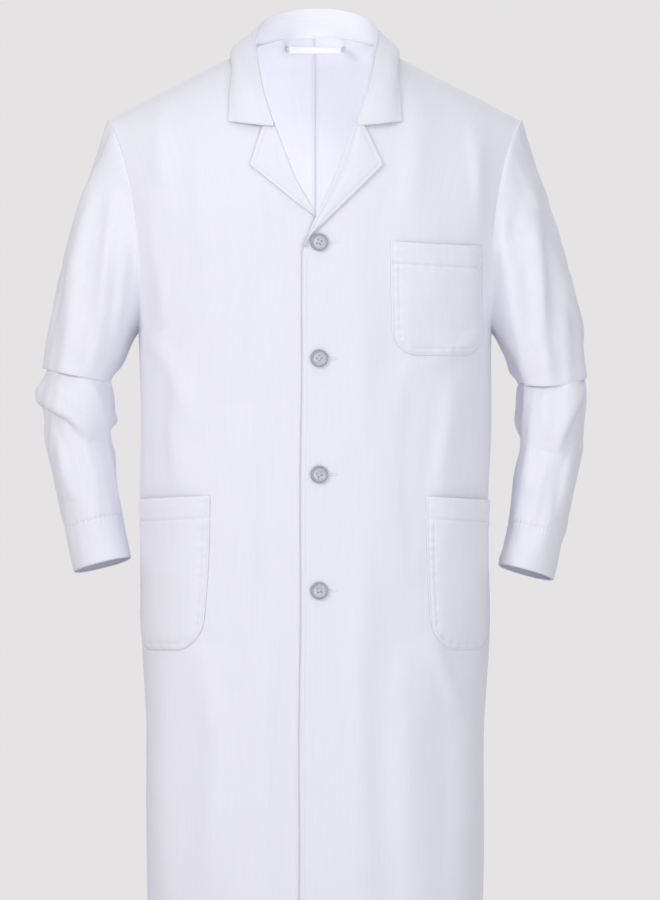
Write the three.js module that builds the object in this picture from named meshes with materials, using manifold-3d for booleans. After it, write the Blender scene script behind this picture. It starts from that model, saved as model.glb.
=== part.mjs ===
// A white lab coat as a worn garment holds itself: two fronts that lap and button, two back
// panels, a notched collar, sleeves that break at the elbow, three patch pockets, four buttons.
// Millimetres, +Z up. The front faces -Y and +X is the wearer's left. Z = 0 is the height of
// the two neck points, where the shoulder seams meet the collar.
import * as THREE from "three";
import { mergeVertices } from "three/addons/utils/BufferGeometryUtils.js";
import Module from "manifold-3d";

const wasm = await Module();
wasm.setup();
const { clamp, lerp, smoothstep } = THREE.MathUtils;

// Cloth
const CLOTH = 1.2; // one stiffened layer
const SEAM = 0.4; // clearance between neighbouring pieces
const ARMHOLE_GAP = 0.9; // clearance between a sleeve and its armhole

// Body of the coat
const COAT_LENGTH = 1025; // neck points to hem
const NECK_HALF = 82;
const SHOULDER_HALF = 234;
const SHOULDER_DROP = 78; // neck point to shoulder tip
const CHEST_HALF = 200;
const UNDERARM_DROP = 315;
const HEM_HALF = 190;
const FRONT_DEPTH = 125; // chest, ahead of the shoulder seams
const FRONT_DEPTH_HEM = 135;
const BACK_DEPTH = 105;
const WAIST_HOLLOW = 16; // how far the back draws in at the waist
const FRONT_CROWN = 200; // height over which the front rounds up to the shoulder seam
const BACK_CROWN = 130;
const SECTION_POWER = 2.5; // squareness of the body's level section
const BACK_NECK_RISE = 10;
const VENT_LENGTH = 320;
const VENT_WIDTH = 35;
const VENT_EASE = 1.4; // slack between the vent's two layers

// Fronts
const BUTTON_LINE = 5;
const LAP_HALF = 19; // front edge to button line, on each front
const LAP_STEP = 4; // the upper front stands this far off the lower one
const LAP_FADE = [45, 95];
const BREAK_DROP = 224; // where the lapels start to turn back
const ROLL_LINE = [[-145, 24], [-88, 46], [-43, 61]]; // [height, half gap] above the break
const FOLD_X = 112; // upright line on which an open front turns
const FOLD_TOP_DROP = 560; // top of that line
const OPEN_TOP_LEFT = 236; // the opening reaches this high on each front edge
const OPEN_TOP_RIGHT = 342;
const FACING_WIDTH = 50; // inner edge of the facings, from the centre plane

// Buttons
const BUTTON_DIAMETER = 20;
const BUTTON_THICKNESS = 3.4;
const BUTTON_FIRST_DROP = 218;
const BUTTON_PITCH = 130.7;
const BUTTON_COUNT = 4;
const BUTTONHOLE = [24, 4.4];
const THREAD_DIAMETER = 3;

// Sleeves
const SLEEVE_REACH = 74; // elbow, outward of the shoulder tip
const ELBOW_DROP = 382;
const ELBOW_WIDTH = 78;
const ELBOW_DEPTH = 128;
const CUFF_DROP = 588;
const CUFF_INNER = 207; // inner side of the cuff, from the centre plane
const CUFF_WIDTH = 62;
const CUFF_DEPTH = 112;
const CUFF_TILT = 12; // the cuff's outer side hangs this much lower
const CUFF_FACING = 50;

// Pockets
const CHEST_POCKET = { inner: 84, outer: 188, top: 218, bottom: 345, radius: 28, bulge: 12 };
const LOWER_POCKET = { inner: 127, outer: 193.5, top: 505, bottom: 678, radius: 34, bulge: 12 };

// Collar and lapels
const COLLAR_TOP = 52; // back of the collar's fold, above the neck points
const COLLAR_CORNER = [99, -80];
const NOTCH = [55, -86];
const LAPEL_TIP = [75, -131];
const COLLAR_LIFT = 2.6;
const LAPEL_LIFT = 2;
const LAPEL_FOOT_LEFT = 204;
const LAPEL_FOOT_RIGHT = 180;

// Hanging loop
const LOOP_WIDTH = 66;
const LOOP_HEIGHT = 7;
const LOOP_STAND_OFF = 14;
const LOOP_TOP = 2;
const LOOP_EASE = 5; // its ends stop this far inside the back, which leans in there

const coat = new THREE.Group();
const point = (x, y, z) => new THREE.Vector3(x, y, z);

function material(color, roughness = 0.85) {
  return new THREE.MeshStandardMaterial({ color, roughness, metalness: 0, side: THREE.DoubleSide });
}

function add(name, geometry, color = 0xeef0f6, roughness = 0.85) {
  const mesh = new THREE.Mesh(geometry, material(color, roughness));
  mesh.name = name;
  coat.add(mesh);
  return mesh;
}

/** Value at `at` on straight stretches between [position, value] pairs in rising order. */
function along(pairs, at) {
  const last = pairs.length - 1;
  const next = at >= pairs[last][0] ? last : Math.max(pairs.findIndex(([p]) => p >= at), 1);
  const [from, to] = [pairs[next - 1], pairs[next]];
  return lerp(from[1], to[1], clamp((at - from[0]) / (to[0] - from[0]), 0, 1));
}

// ---- The form that the cloth hangs on ------------------------------------------------------

const RIDGE_ROUND = 30;
const SHOULDER_SLOPE =
  SHOULDER_DROP / (Math.hypot(SHOULDER_HALF, RIDGE_ROUND) - Math.hypot(NECK_HALF, RIDGE_ROUND));

/** Height of the shoulder line at x. */
function ridge(x) {
  return SHOULDER_SLOPE * (Math.hypot(NECK_HALF, RIDGE_ROUND) - Math.hypot(x, RIDGE_ROUND));
}

/** Half width of the form at z; above the underarm it opens into the armholes. */
function halfWidth(z) {
  const widths = [
    [-COAT_LENGTH, HEM_HALF],
    [-UNDERARM_DROP, CHEST_HALF],
    [-SHOULDER_DROP, SHOULDER_HALF + 16],
  ];
  return along(widths, z);
}

/** Share of the full depth at (x, z): 0 on the shoulder line and at the side, 1 mid-front. */
function fullness(x, z, crown) {
  const side = clamp(Math.abs(x) / halfWidth(z), 0, 1);
  const drop = clamp((ridge(x) - z) / crown, 0, 1);
  return (1 - side ** SECTION_POWER) ** (1 / SECTION_POWER) * Math.sqrt(1 - (1 - drop) ** 2);
}

/** Outer surface of the front at (x, z). */
function frontY(x, z) {
  const depth = lerp(FRONT_DEPTH, FRONT_DEPTH_HEM, clamp(-z / COAT_LENGTH, 0, 1));
  return -Math.max(depth * fullness(x, z, FRONT_CROWN), SEAM / 2);
}

/** Outer surface of the back at (x, z). */
function backY(x, z) {
  const waist = Math.exp(-(((z + 420) / 170) ** 2)) * WAIST_HOLLOW;
  return Math.max((BACK_DEPTH - waist) * fullness(x, z, BACK_CROWN), SEAM / 2);
}

/** Front-view line of the armhole seam. */
function armholeX(z) {
  const rise = clamp((z + UNDERARM_DROP) / (UNDERARM_DROP - SHOULDER_DROP), 0, 1);
  return CHEST_HALF + (SHOULDER_HALF - CHEST_HALF) * rise ** 3.2;
}

/** Outer limit of the panels at z: the side seam, then the armhole. */
function outerX(z) {
  return z <= -UNDERARM_DROP ? halfWidth(z) : armholeX(z);
}

// ---- Sheets --------------------------------------------------------------------------------

const ON_SEAM = 0.5; // a point this near the centre or side plane lies on a seam there

/** Unit normals of a grid of points, turned away from the upright line through `core`. */
function gridNormals(grid, core, ring) {
  const [rows, columns] = [grid.length, grid[0].length];
  const column = (j) => (ring ? (j + columns) % columns : clamp(j, 0, columns - 1));
  const at = (i, j) => grid[clamp(i, 0, rows - 1)][column(j)];
  const normals = grid.map((row, i) =>
    row.map((p, j) => {
      const down = at(i + 1, j).clone().sub(at(i - 1, j));
      const across = at(i, j + 1).clone().sub(at(i, j - 1));
      const normal = down.cross(across);
      if (Math.abs(p.x) < ON_SEAM) normal.x = 0;
      if (Math.abs(p.y) < ON_SEAM) normal.y = 0;
      return normal.normalize();
    }),
  );
  const [i, j] = [rows >> 1, columns >> 1];
  const away = grid[i][j].clone().sub(point(core.x, core.y, grid[i][j].z));
  if (normals[i][j].dot(away) < 0) normals.flat().forEach((normal) => normal.negate());
  return normals;
}

/** Closed solid between a grid's outer and inner surfaces. `ring` joins each row to itself. */
function sheet(grid, { inset = 0, thickness = CLOTH, core = point(0, 0, 0), ring = false } = {}) {
  const [rows, columns] = [grid.length, grid[0].length];
  const normals = gridNormals(grid, core, ring);
  const depth = (i, j) => (typeof inset === "function" ? inset(i, j) : inset);
  const layer = (extra) =>
    grid.flatMap((row, i) =>
      row.map((p, j) => p.clone().addScaledVector(normals[i][j], -depth(i, j) - extra)),
    );
  const points = [...layer(0), ...layer(thickness)];
  const index = (i, j, inner) => (inner ? rows * columns : 0) + i * columns + (j % columns);
  const faces = [];
  const quad = (a, b, c, d) => faces.push(a, b, c, a, c, d);
  const last = ring ? columns : columns - 1;
  for (let i = 0; i < rows - 1; i++) {
    for (let j = 0; j < last; j++) {
      quad(index(i, j), index(i, j + 1), index(i + 1, j + 1), index(i + 1, j));
      quad(index(i, j, 1), index(i + 1, j, 1), index(i + 1, j + 1, 1), index(i, j + 1, 1));
    }
  }
  for (let j = 0; j < last; j++) {
    quad(index(0, j), index(0, j, 1), index(0, j + 1, 1), index(0, j + 1));
    quad(index(rows - 1, j), index(rows - 1, j + 1), index(rows - 1, j + 1, 1), index(rows - 1, j, 1));
  }
  for (let i = 0; !ring && i < rows - 1; i++) {
    quad(index(i, 0), index(i + 1, 0), index(i + 1, 0, 1), index(i, 0, 1));
    quad(index(i, last), index(i, last, 1), index(i + 1, last, 1), index(i + 1, last));
  }
  return outward(points, faces);
}

/** Geometry of a closed body, with its faces turned out. */
function outward(points, faces) {
  let volume = 0;
  for (let f = 0; f < faces.length; f += 3) {
    const [a, b, c] = [points[faces[f]], points[faces[f + 1]], points[faces[f + 2]]];
    volume += a.dot(b.clone().cross(c));
  }
  if (volume < 0) faces.reverse();
  const geometry = new THREE.BufferGeometry();
  const coordinates = points.flatMap((p) => [p.x, p.y, p.z]);
  geometry.setAttribute("position", new THREE.Float32BufferAttribute(coordinates, 3));
  geometry.setIndex(faces);
  return geometry;
}

function asSolid(geometry) {
  const bare = geometry.clone();
  bare.deleteAttribute("normal");
  bare.deleteAttribute("uv");
  const merged = mergeVertices(bare, 1e-4);
  const vertProperties = new Float32Array(merged.attributes.position.array);
  const triVerts = new Uint32Array(merged.index.array);
  return new wasm.Manifold(new wasm.Mesh({ numProp: 3, vertProperties, triVerts }));
}

/** `geometry` with every cutter taken out of it. */
function cut(geometry, cutters) {
  let solid = asSolid(geometry);
  for (const cutter of cutters) solid = solid.subtract(asSolid(cutter));
  const { vertProperties, triVerts } = solid.getMesh();
  const result = new THREE.BufferGeometry();
  result.setAttribute("position", new THREE.BufferAttribute(new Float32Array(vertProperties), 3));
  result.setIndex([...triVerts]);
  return result;
}

/** A row of x values from one to the other, even in the angle of the body's section. */
function sectionRow(from, to, z, steps) {
  const width = halfWidth(z);
  const angle = (x) => {
    return Math.sign(x) * Math.asin(clamp(Math.abs(x) / width, 0, 1) ** (SECTION_POWER / 2));
  };
  return Array.from({ length: steps + 1 }, (_, j) => {
    const turned = lerp(angle(from), angle(to), j / steps);
    return Math.sign(turned) * width * Math.abs(Math.sin(turned)) ** (2 / SECTION_POWER);
  });
}

/** A panel's row between its inner and outer edges; `top` is 1 on the row along its top edge. */
function panelRow(surface, inner, outer, steps, top = 0, topEdge = ridge) {
  return sectionRow(inner.x, outer.x, (inner.z + outer.z) / 2, steps).map((x) => {
    const s = (x - inner.x) / (outer.x - inner.x);
    const level = lerp(inner.z, outer.z, s);
    const draped = topEdge(x) - lerp(topEdge(inner.x) - inner.z, topEdge(outer.x) - outer.z, s);
    const z = lerp(level, draped, top);
    return point(x, surface(x, z), z);
  });
}

const mirrored = (grid, side) => grid.map((row) => row.map((p) => point(side * p.x, p.y, p.z)));
const steps = (count) => Array.from({ length: count + 1 }, (_, i) => i / count);

// ---- Back ----------------------------------------------------------------------------------

/** The back's top edge: the neck seam, then the shoulder seam. */
function backTop(x) {
  return x < NECK_HALF ? BACK_NECK_RISE * (1 - (x / NECK_HALF) ** 2) : ridge(x);
}

function backGrid() {
  const rows = steps(12).map((t) => {
    const z = lerp(-COAT_LENGTH, -UNDERARM_DROP, t);
    return panelRow(backY, { x: SEAM / 2, z }, { x: halfWidth(z), z }, 10);
  });
  for (const t of steps(9).slice(1)) {
    const rise = 1 - (1 - t) ** 2;
    const z = lerp(-UNDERARM_DROP, -SHOULDER_DROP, rise);
    const inner = { x: SEAM / 2, z: lerp(-UNDERARM_DROP, BACK_NECK_RISE, rise) };
    rows.push(panelRow(backY, inner, { x: armholeX(z), z }, 10, rise, backTop));
  }
  return rows;
}

for (const [side, name] of [[1, "left"], [-1, "right"]]) {
  add(`${name}_back_panel`, sheet(mirrored(backGrid(), side)));
}

function ventGrid() {
  const top = -COAT_LENGTH + VENT_LENGTH;
  return steps(6).map((t) => {
    const z = lerp(-COAT_LENGTH, top, t);
    return panelRow(backY, { x: SEAM, z }, { x: VENT_WIDTH, z }, 3);
  });
}

add("back_vent_underlap", sheet(ventGrid(), { inset: CLOTH + VENT_EASE }));

// ---- Fronts --------------------------------------------------------------------------------

/** Front edge, measured across from the centre plane towards the other side, for each front. */
const edgeX = { 1: BUTTON_LINE - LAP_HALF, [-1]: -BUTTON_LINE - LAP_HALF };
const openTop = { 1: OPEN_TOP_LEFT, [-1]: OPEN_TOP_RIGHT };

/** The left front laps over the right one, so it stands off near the centre. */
function frontSurface(side) {
  return (x, z) => frontY(x, z) - (side > 0 ? LAP_STEP * (1 - smoothstep(x, ...LAP_FADE)) : 0);
}

/** Inner edge of the fixed part of a front: fold line, opening line, front edge, roll line. */
function innerX(side, z) {
  return along(
    [
      [-COAT_LENGTH, FOLD_X],
      [-FOLD_TOP_DROP, FOLD_X],
      [-openTop[side], edgeX[side]],
      [-BREAK_DROP - 4, edgeX[side]],
      ...ROLL_LINE,
      [0, NECK_HALF],
    ],
    z,
  );
}

/** Inner and outer heights of the row from which each front rises to its shoulder. */
const riseFrom = {
  1: { inner: -OPEN_TOP_LEFT, outer: -OPEN_TOP_LEFT - 26 },
  [-1]: { inner: -UNDERARM_DROP, outer: -UNDERARM_DROP },
};

function frontGrid(side) {
  const surface = frontSurface(side);
  const row = (innerZ, outerZ, top) => {
    const inner = { x: innerX(side, innerZ), z: innerZ };
    return panelRow(surface, inner, { x: outerX(outerZ), z: outerZ }, 9, top);
  };
  const low = -Math.max(openTop[side], UNDERARM_DROP);
  const below = steps(7).map((t) => lerp(-COAT_LENGTH, -FOLD_TOP_DROP, t));
  const middle = steps(4).slice(1).map((t) => lerp(-FOLD_TOP_DROP, low, t));
  const rows = [...below, ...middle].map((z) => row(z, z));
  const from = riseFrom[side];
  for (const t of steps(10)) {
    const rise = 1 - (1 - t) ** 2;
    rows.push(row(lerp(from.inner, 0, rise), lerp(from.outer, -SHOULDER_DROP, rise), rise));
  }
  return rows;
}

/** The part of a front that swings, out to `outer`; its top follows the opening line. */
function flapGrid(side, outer, columns, edgeInset = 0) {
  const surface = frontSurface(side);
  const slope = (FOLD_TOP_DROP - openTop[side]) / (FOLD_X - edgeX[side]);
  const lineZ = (x) => -openTop[side] - slope * (x - edgeX[side]) - 1.6 * SEAM;
  const edge = edgeX[side] + edgeInset;
  return steps(14).map((t) =>
    steps(columns).map((s) => {
      const x = lerp(edge, outer, s);
      const z = lerp(-COAT_LENGTH, lineZ(x), t);
      return point(x, surface(x, z), z);
    }),
  );
}

const buttonDrops = steps(BUTTON_COUNT - 1).map(
  (t) => BUTTON_FIRST_DROP + t * (BUTTON_COUNT - 1) * BUTTON_PITCH,
);

/** Slots for the buttonholes that run from the button line towards the wearer's left. */
const buttonholes = buttonDrops.map((drop) => {
  const [length, height] = BUTTONHOLE;
  const slot = new THREE.BoxGeometry(length, 60, height);
  return slot.translate(BUTTON_LINE + (length - height) / 2, frontY(0, -drop), -drop);
});

for (const [side, name] of [[1, "left"], [-1, "right"]]) {
  const holes = side > 0 ? buttonholes : [];
  const panel = sheet(mirrored(frontGrid(side), side));
  const flap = sheet(mirrored(flapGrid(side, FOLD_X - SEAM, 8), side));
  const facing = sheet(mirrored(flapGrid(side, FACING_WIDTH, 5, 0.5), side), { inset: CLOTH + SEAM });
  add(`${name}_front_panel`, side > 0 ? cut(panel, holes.slice(0, 1)) : panel);
  add(`${name}_front_flap`, side > 0 ? cut(flap, holes.slice(1)) : flap);
  add(`${name}_front_facing`, side > 0 ? cut(facing, holes.slice(1)) : facing);
}

// ---- Buttons -------------------------------------------------------------------------------

/** A four-hole button with a raised rim, its back at the origin, facing -Y. */
function buttonGeometry() {
  const radius = BUTTON_DIAMETER / 2;
  const [rim, dish] = [BUTTON_THICKNESS, BUTTON_THICKNESS * 0.6];
  const outline = [[0, 0], [radius * 0.8, 0], [radius, rim * 0.4], [radius, rim * 0.8]];
  outline.push([radius * 0.92, rim], [radius * 0.76, rim], [radius * 0.66, dish], [0, dish]);
  const disc = new THREE.LatheGeometry(outline.map(([r, h]) => new THREE.Vector2(r, h)), 28);
  const [spread, hole] = [radius * 0.19, radius * 0.09];
  const drills = [[1, 1], [1, -1], [-1, 1], [-1, -1]].map(([a, b]) => {
    const drill = new THREE.CylinderGeometry(hole, hole, 4 * rim, 8);
    return drill.translate(a * spread, 0, b * spread);
  });
  return cut(disc, drills).rotateX(Math.PI);
}

buttonDrops.forEach((drop, n) => {
  const back = frontSurface(1)(BUTTON_LINE, -drop) - SEAM;
  const seat = frontSurface(-1)(-BUTTON_LINE, -drop) - SEAM;
  const button = add(`button_${n + 1}`, buttonGeometry(), 0xc3c6cf, 0.35);
  button.position.set(BUTTON_LINE, back, -drop);
  const length = seat - back - SEAM;
  const shank = new THREE.CylinderGeometry(THREAD_DIAMETER / 2, THREAD_DIAMETER / 2, length, 12);
  const thread = add(`button_thread_${n + 1}`, shank, 0xf2f2f5, 0.8);
  thread.position.set(BUTTON_LINE, seat - length / 2, -drop);
});

// ---- Collar and lapels ---------------------------------------------------------------------

const onFront = (x, z, lift) => point(x, frontSurface(1)(x, z) - lift, z);
const onBack = (x, z, lift) => point(x, backY(x, z) + lift, z);

/** A smooth line round the neck from the wearer's right to left, from its left half. */
function neckLine(half, count) {
  const other = half.slice(0, -1).map((p) => point(-p.x, p.y, p.z));
  return new THREE.CatmullRomCurve3([...other, ...[...half].reverse()]).getPoints(count);
}

function collarGrid() {
  const fold = neckLine(
    [
      onFront(46, -85, 3),
      onFront(59, -43, 4),
      onFront(66, -4, 4),
      point(69, -10, 20),
      point(59, 38, 38),
      point(30, 64, 49),
      point(0, 70, COLLAR_TOP),
    ],
    28,
  );
  const [cornerX, cornerZ] = COLLAR_CORNER;
  const edge = neckLine(
    [
      onFront(cornerX, cornerZ, COLLAR_LIFT),
      onFront(97, -45, COLLAR_LIFT + 2),
      onFront(96, -18, COLLAR_LIFT + 6),
      point(98, 4, ridge(98) + 7),
      onBack(84, -14, COLLAR_LIFT + 4),
      onBack(46, -6, COLLAR_LIFT + 3),
      onBack(0, 2, COLLAR_LIFT + 2),
    ],
    28,
  );
  return steps(5).map((t) =>
    fold.map((from, j) => {
      const p = from.clone().lerp(edge[j], t);
      const swell = 7 * Math.sin(Math.PI * t);
      return p.add(point(p.x, p.y - 10, 0).setLength(swell));
    }),
  );
}

function standGrid() {
  const seam = neckLine(
    [
      onFront(55, -60, -2.6),
      onFront(67, -27, -9),
      onFront(78, -4, -10),
      point(77, 22, BACK_NECK_RISE * 0.35),
      point(52, 52, BACK_NECK_RISE * 0.8),
      point(26, 63, BACK_NECK_RISE * 1.12),
      point(0, 66.5, BACK_NECK_RISE + 1.2),
    ],
    24,
  );
  const top = neckLine(
    [
      onFront(57, -45, -5),
      onFront(63, -8, -1),
      point(65.5, -14, 14),
      point(62, 14, 25),
      point(50, 42, 36),
      point(27, 61, 46.5),
      point(0, 67.6, COLLAR_TOP - 1.5),
    ],
    24,
  );
  return steps(3).map((t) => seam.map((from, j) => from.clone().lerp(top[j], t)));
}

add("collar_leaf", sheet(collarGrid()));
add("collar_stand", sheet(standGrid()), 0xe3e6f4);

/** The turned-back top of a front, from the roll line out to the notch and the lapel tip. */
function lapelGrid(side) {
  const surface = frontSurface(side);
  const foot = side > 0 ? -LAPEL_FOOT_LEFT : -LAPEL_FOOT_RIGHT;
  const outline = [[foot, innerX(side, foot) + 8], [...LAPEL_TIP].reverse(), [...NOTCH].reverse()];
  return steps(8).map((t) => {
    const z = lerp(NOTCH[1] - 2, foot, t);
    const rollX = innerX(side, z) + 1;
    const tipX = along(outline, z);
    return steps(4).map((s) => {
      const x = lerp(rollX, tipX, s);
      return point(x, surface(x, z) - LAPEL_LIFT - 2 * Math.sin(Math.PI * s), z);
    });
  });
}

for (const [side, name] of [[1, "left"], [-1, "right"]]) {
  add(`${name}_lapel`, sheet(mirrored(lapelGrid(side), side)));
}

// ---- Pockets -------------------------------------------------------------------------------

/** A patch pocket: round lower corners, sewn down at its sides and foot, open at its mouth. */
function pocketGrid({ inner, outer, top, bottom, radius }) {
  const columns = sectionRow(inner, outer, -top, 12);
  const span = [0];
  for (let j = 1; j < columns.length; j++) {
    span.push(span[j - 1] + stretch(columns[j - 1], columns[j], top));
  }
  const width = span[span.length - 1];
  return steps(8).map((t) =>
    columns.map((x, j) => {
      const fromSide = Math.min(span[j], width - span[j]);
      const short = clamp(radius - fromSide, 0, radius);
      const foot = -bottom + radius - Math.sqrt(radius ** 2 - short ** 2);
      const z = lerp(-top, foot, t);
      return point(x, frontSurface(1)(x, z), z);
    }),
  );
}

/** Length along the form's level section between two x values. */
function stretch(from, to, drop) {
  return Math.hypot(to - from, frontY(to, -drop) - frontY(from, -drop));
}

function pocketSheet(pocket, side) {
  const grid = mirrored(pocketGrid(pocket), side);
  const [rows, columns] = [grid.length - 1, grid[0].length - 1];
  const inset = (i, j) => {
    const across = 1 - Math.abs((2 * j) / columns - 1) ** 4;
    const down = 1 - (i / rows) ** 3;
    return -(CLOTH + SEAM + pocket.bulge * across * down);
  };
  return sheet(grid, { inset });
}

add("chest_pocket", pocketSheet(CHEST_POCKET, 1), 0xf0f2f8);
add("left_lower_pocket", pocketSheet(LOWER_POCKET, 1), 0xf0f2f8);
add("right_lower_pocket", pocketSheet(LOWER_POCKET, -1), 0xf0f2f8);

// ---- Sleeves -------------------------------------------------------------------------------

const RING = 20;
const ringAngles = Array.from({ length: RING }, (_, j) => (2 * Math.PI * j) / RING);
const SLEEVE_POWER = 0.86; // squareness of the sleeve's section

/** A ring between an outer and an inner point of the front view, `depth` from front to back. */
function tubeRing(outer, inner, depth) {
  return ringAngles.map((angle) => {
    const [c, s] = [Math.cos(angle), Math.sin(angle)];
    const share = (1 + Math.sign(c) * Math.abs(c) ** SLEEVE_POWER) / 2;
    const y = (-depth / 2) * Math.sign(s) * Math.abs(s) ** SLEEVE_POWER;
    return point(lerp(inner.x, outer.x, share), y, lerp(inner.z, outer.z, share));
  });
}

/** The armhole seam as a ring, from the shoulder tip down the front and up the back. */
function armholeRing() {
  return ringAngles.map((angle) => {
    const z = lerp(-UNDERARM_DROP, -SHOULDER_DROP, (1 + Math.cos(angle)) / 2);
    const x = armholeX(z);
    const slant = Math.atan(armholeX(z + 0.5) - armholeX(z - 0.5));
    const y = Math.sin(angle) >= 0 ? frontY(x, z) : backY(x, z);
    return point(x + ARMHOLE_GAP * Math.cos(slant), y, z - ARMHOLE_GAP * Math.sin(slant));
  });
}

const shoulderTip = { x: SHOULDER_HALF, z: -SHOULDER_DROP };
const elbowOuter = { x: SHOULDER_HALF + SLEEVE_REACH, z: -ELBOW_DROP };
const elbowInner = { x: elbowOuter.x - ELBOW_WIDTH, z: -ELBOW_DROP };

function upperSleeveGrid() {
  const seam = armholeRing();
  const outline = new THREE.CatmullRomCurve3([
    point(shoulderTip.x, 0, shoulderTip.z),
    point(lerp(shoulderTip.x, elbowOuter.x, 0.43), 0, lerp(shoulderTip.z, elbowOuter.z, 0.21)),
    point(lerp(shoulderTip.x, elbowOuter.x, 0.76), 0, lerp(shoulderTip.z, elbowOuter.z, 0.58)),
    point(elbowOuter.x, 0, elbowOuter.z),
  ]);
  return steps(9).map((t) => {
    const outer = outline.getPoint(t);
    const inner = {
      x: lerp(CHEST_HALF + 1.5 * SEAM, elbowInner.x, t),
      z: lerp(-UNDERARM_DROP, elbowInner.z, t ** 0.9),
    };
    const tube = tubeRing(outer, inner, lerp(150, ELBOW_DEPTH, t));
    return seam.map((p, j) => p.clone().lerp(tube[j], smoothstep(t, 0, 0.55)));
  });
}

function lowerSleeveGrid(from = 0, rows = 8) {
  const cuffOuter = { x: CUFF_INNER + CUFF_WIDTH, z: -CUFF_DROP - CUFF_TILT / 2 };
  const cuffInner = { x: CUFF_INNER, z: -CUFF_DROP + CUFF_TILT / 2 };
  const gap = 2 * SEAM;
  return steps(rows).map((s) => {
    const t = lerp(from, 1, s);
    const between = (elbow, cuff) => ({
      x: lerp(elbow.x, cuff.x, t),
      z: lerp(elbow.z - gap, cuff.z, t),
    });
    const [outer, inner] = [between(elbowOuter, cuffOuter), between(elbowInner, cuffInner)];
    return tubeRing(outer, inner, lerp(ELBOW_DEPTH, CUFF_DEPTH, t));
  });
}

for (const [side, name] of [[1, "left"], [-1, "right"]]) {
  const core = point(side * (elbowInner.x + ELBOW_WIDTH / 2), 0, 0);
  const facingFrom = 1 - CUFF_FACING / (CUFF_DROP - ELBOW_DROP);
  add(`${name}_upper_sleeve`, sheet(mirrored(upperSleeveGrid(), side), { core, ring: true }));
  add(`${name}_lower_sleeve`, sheet(mirrored(lowerSleeveGrid(), side), { core, ring: true }));
  const facing = { core, ring: true, inset: CLOTH + SEAM };
  add(`${name}_cuff_facing`, sheet(mirrored(lowerSleeveGrid(facingFrom, 2), side), facing), 0xe3e6f4);
}

// ---- Hanging loop --------------------------------------------------------------------------

/** A strap across the inside of the back neck, its two ends turned back to the neck seam. */
function loopGeometry() {
  const half = LOOP_WIDTH / 2;
  const wall = backY(half, LOOP_TOP) - CLOTH - LOOP_EASE;
  const face = wall - LOOP_STAND_OFF;
  const inside = half - CLOTH;
  const outline = [[-half, wall], [-half, face], [half, face], [half, wall], [inside, wall]];
  outline.push([inside, face + CLOTH], [-inside, face + CLOTH], [-inside, wall]);
  const shape = new THREE.Shape(outline.map(([x, y]) => new THREE.Vector2(x, y)));
  const strap = new THREE.ExtrudeGeometry(shape, { depth: LOOP_HEIGHT, bevelEnabled: false });
  return strap.translate(0, 0, LOOP_TOP - LOOP_HEIGHT);
}

add("hanger_loop", loopGeometry(), 0xe6e8f2);

export default coat;
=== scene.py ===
import math

import bpy
import numpy as np
from mathutils import Matrix, Vector

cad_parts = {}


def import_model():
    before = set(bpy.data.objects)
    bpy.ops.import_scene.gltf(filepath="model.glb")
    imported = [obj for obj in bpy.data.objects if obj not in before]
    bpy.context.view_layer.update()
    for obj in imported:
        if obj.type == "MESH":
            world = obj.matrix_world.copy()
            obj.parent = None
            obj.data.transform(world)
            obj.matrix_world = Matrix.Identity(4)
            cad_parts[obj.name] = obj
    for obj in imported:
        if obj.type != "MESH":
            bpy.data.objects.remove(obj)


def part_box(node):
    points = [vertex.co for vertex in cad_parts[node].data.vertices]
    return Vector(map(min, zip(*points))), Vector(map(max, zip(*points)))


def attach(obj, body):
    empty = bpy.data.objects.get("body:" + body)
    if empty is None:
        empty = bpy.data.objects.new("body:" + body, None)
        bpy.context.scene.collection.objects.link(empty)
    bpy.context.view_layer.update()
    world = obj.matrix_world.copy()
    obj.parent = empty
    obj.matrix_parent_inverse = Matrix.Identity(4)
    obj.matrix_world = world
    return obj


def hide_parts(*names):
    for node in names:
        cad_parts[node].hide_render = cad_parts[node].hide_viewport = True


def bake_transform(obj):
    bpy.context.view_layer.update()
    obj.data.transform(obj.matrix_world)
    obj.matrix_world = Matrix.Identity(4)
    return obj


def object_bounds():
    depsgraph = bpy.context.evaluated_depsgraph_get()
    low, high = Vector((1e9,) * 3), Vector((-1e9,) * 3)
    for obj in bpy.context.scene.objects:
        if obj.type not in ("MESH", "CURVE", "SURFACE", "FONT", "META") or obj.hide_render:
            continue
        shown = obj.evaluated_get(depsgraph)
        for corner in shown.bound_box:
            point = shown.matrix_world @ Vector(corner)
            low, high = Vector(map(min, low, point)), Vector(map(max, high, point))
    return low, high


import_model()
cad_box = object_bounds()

# ---- Studio ---------------------------------------------------------------------------------
# A pale room with soft light from the front, a little from the coat's right, a small light
# inside the neck, and a long level lens at chest height that lets the hem run out of the view.

EYE_HEIGHT = -0.452
EYE_ACROSS = 0.017
EYE_DISTANCE = 14.0
VIEW_HEIGHT = 1.017
FILM = 36.0
SUBJECT_Y = -0.07
COAT_MIDDLE = (0, 0, -0.45)

camera_data = bpy.data.cameras.new("camera")
camera_data.sensor_fit = "VERTICAL"
camera_data.sensor_height = FILM
camera_data.lens = FILM * EYE_DISTANCE / VIEW_HEIGHT
camera = bpy.data.objects.new("camera", camera_data)
camera.location = (EYE_ACROSS, SUBJECT_Y - EYE_DISTANCE, EYE_HEIGHT)
camera.rotation_euler = (math.radians(90), 0, 0)
bpy.context.scene.collection.objects.link(camera)
bpy.context.scene.camera = camera
bpy.context.scene.view_settings.view_transform = "Standard"


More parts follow.
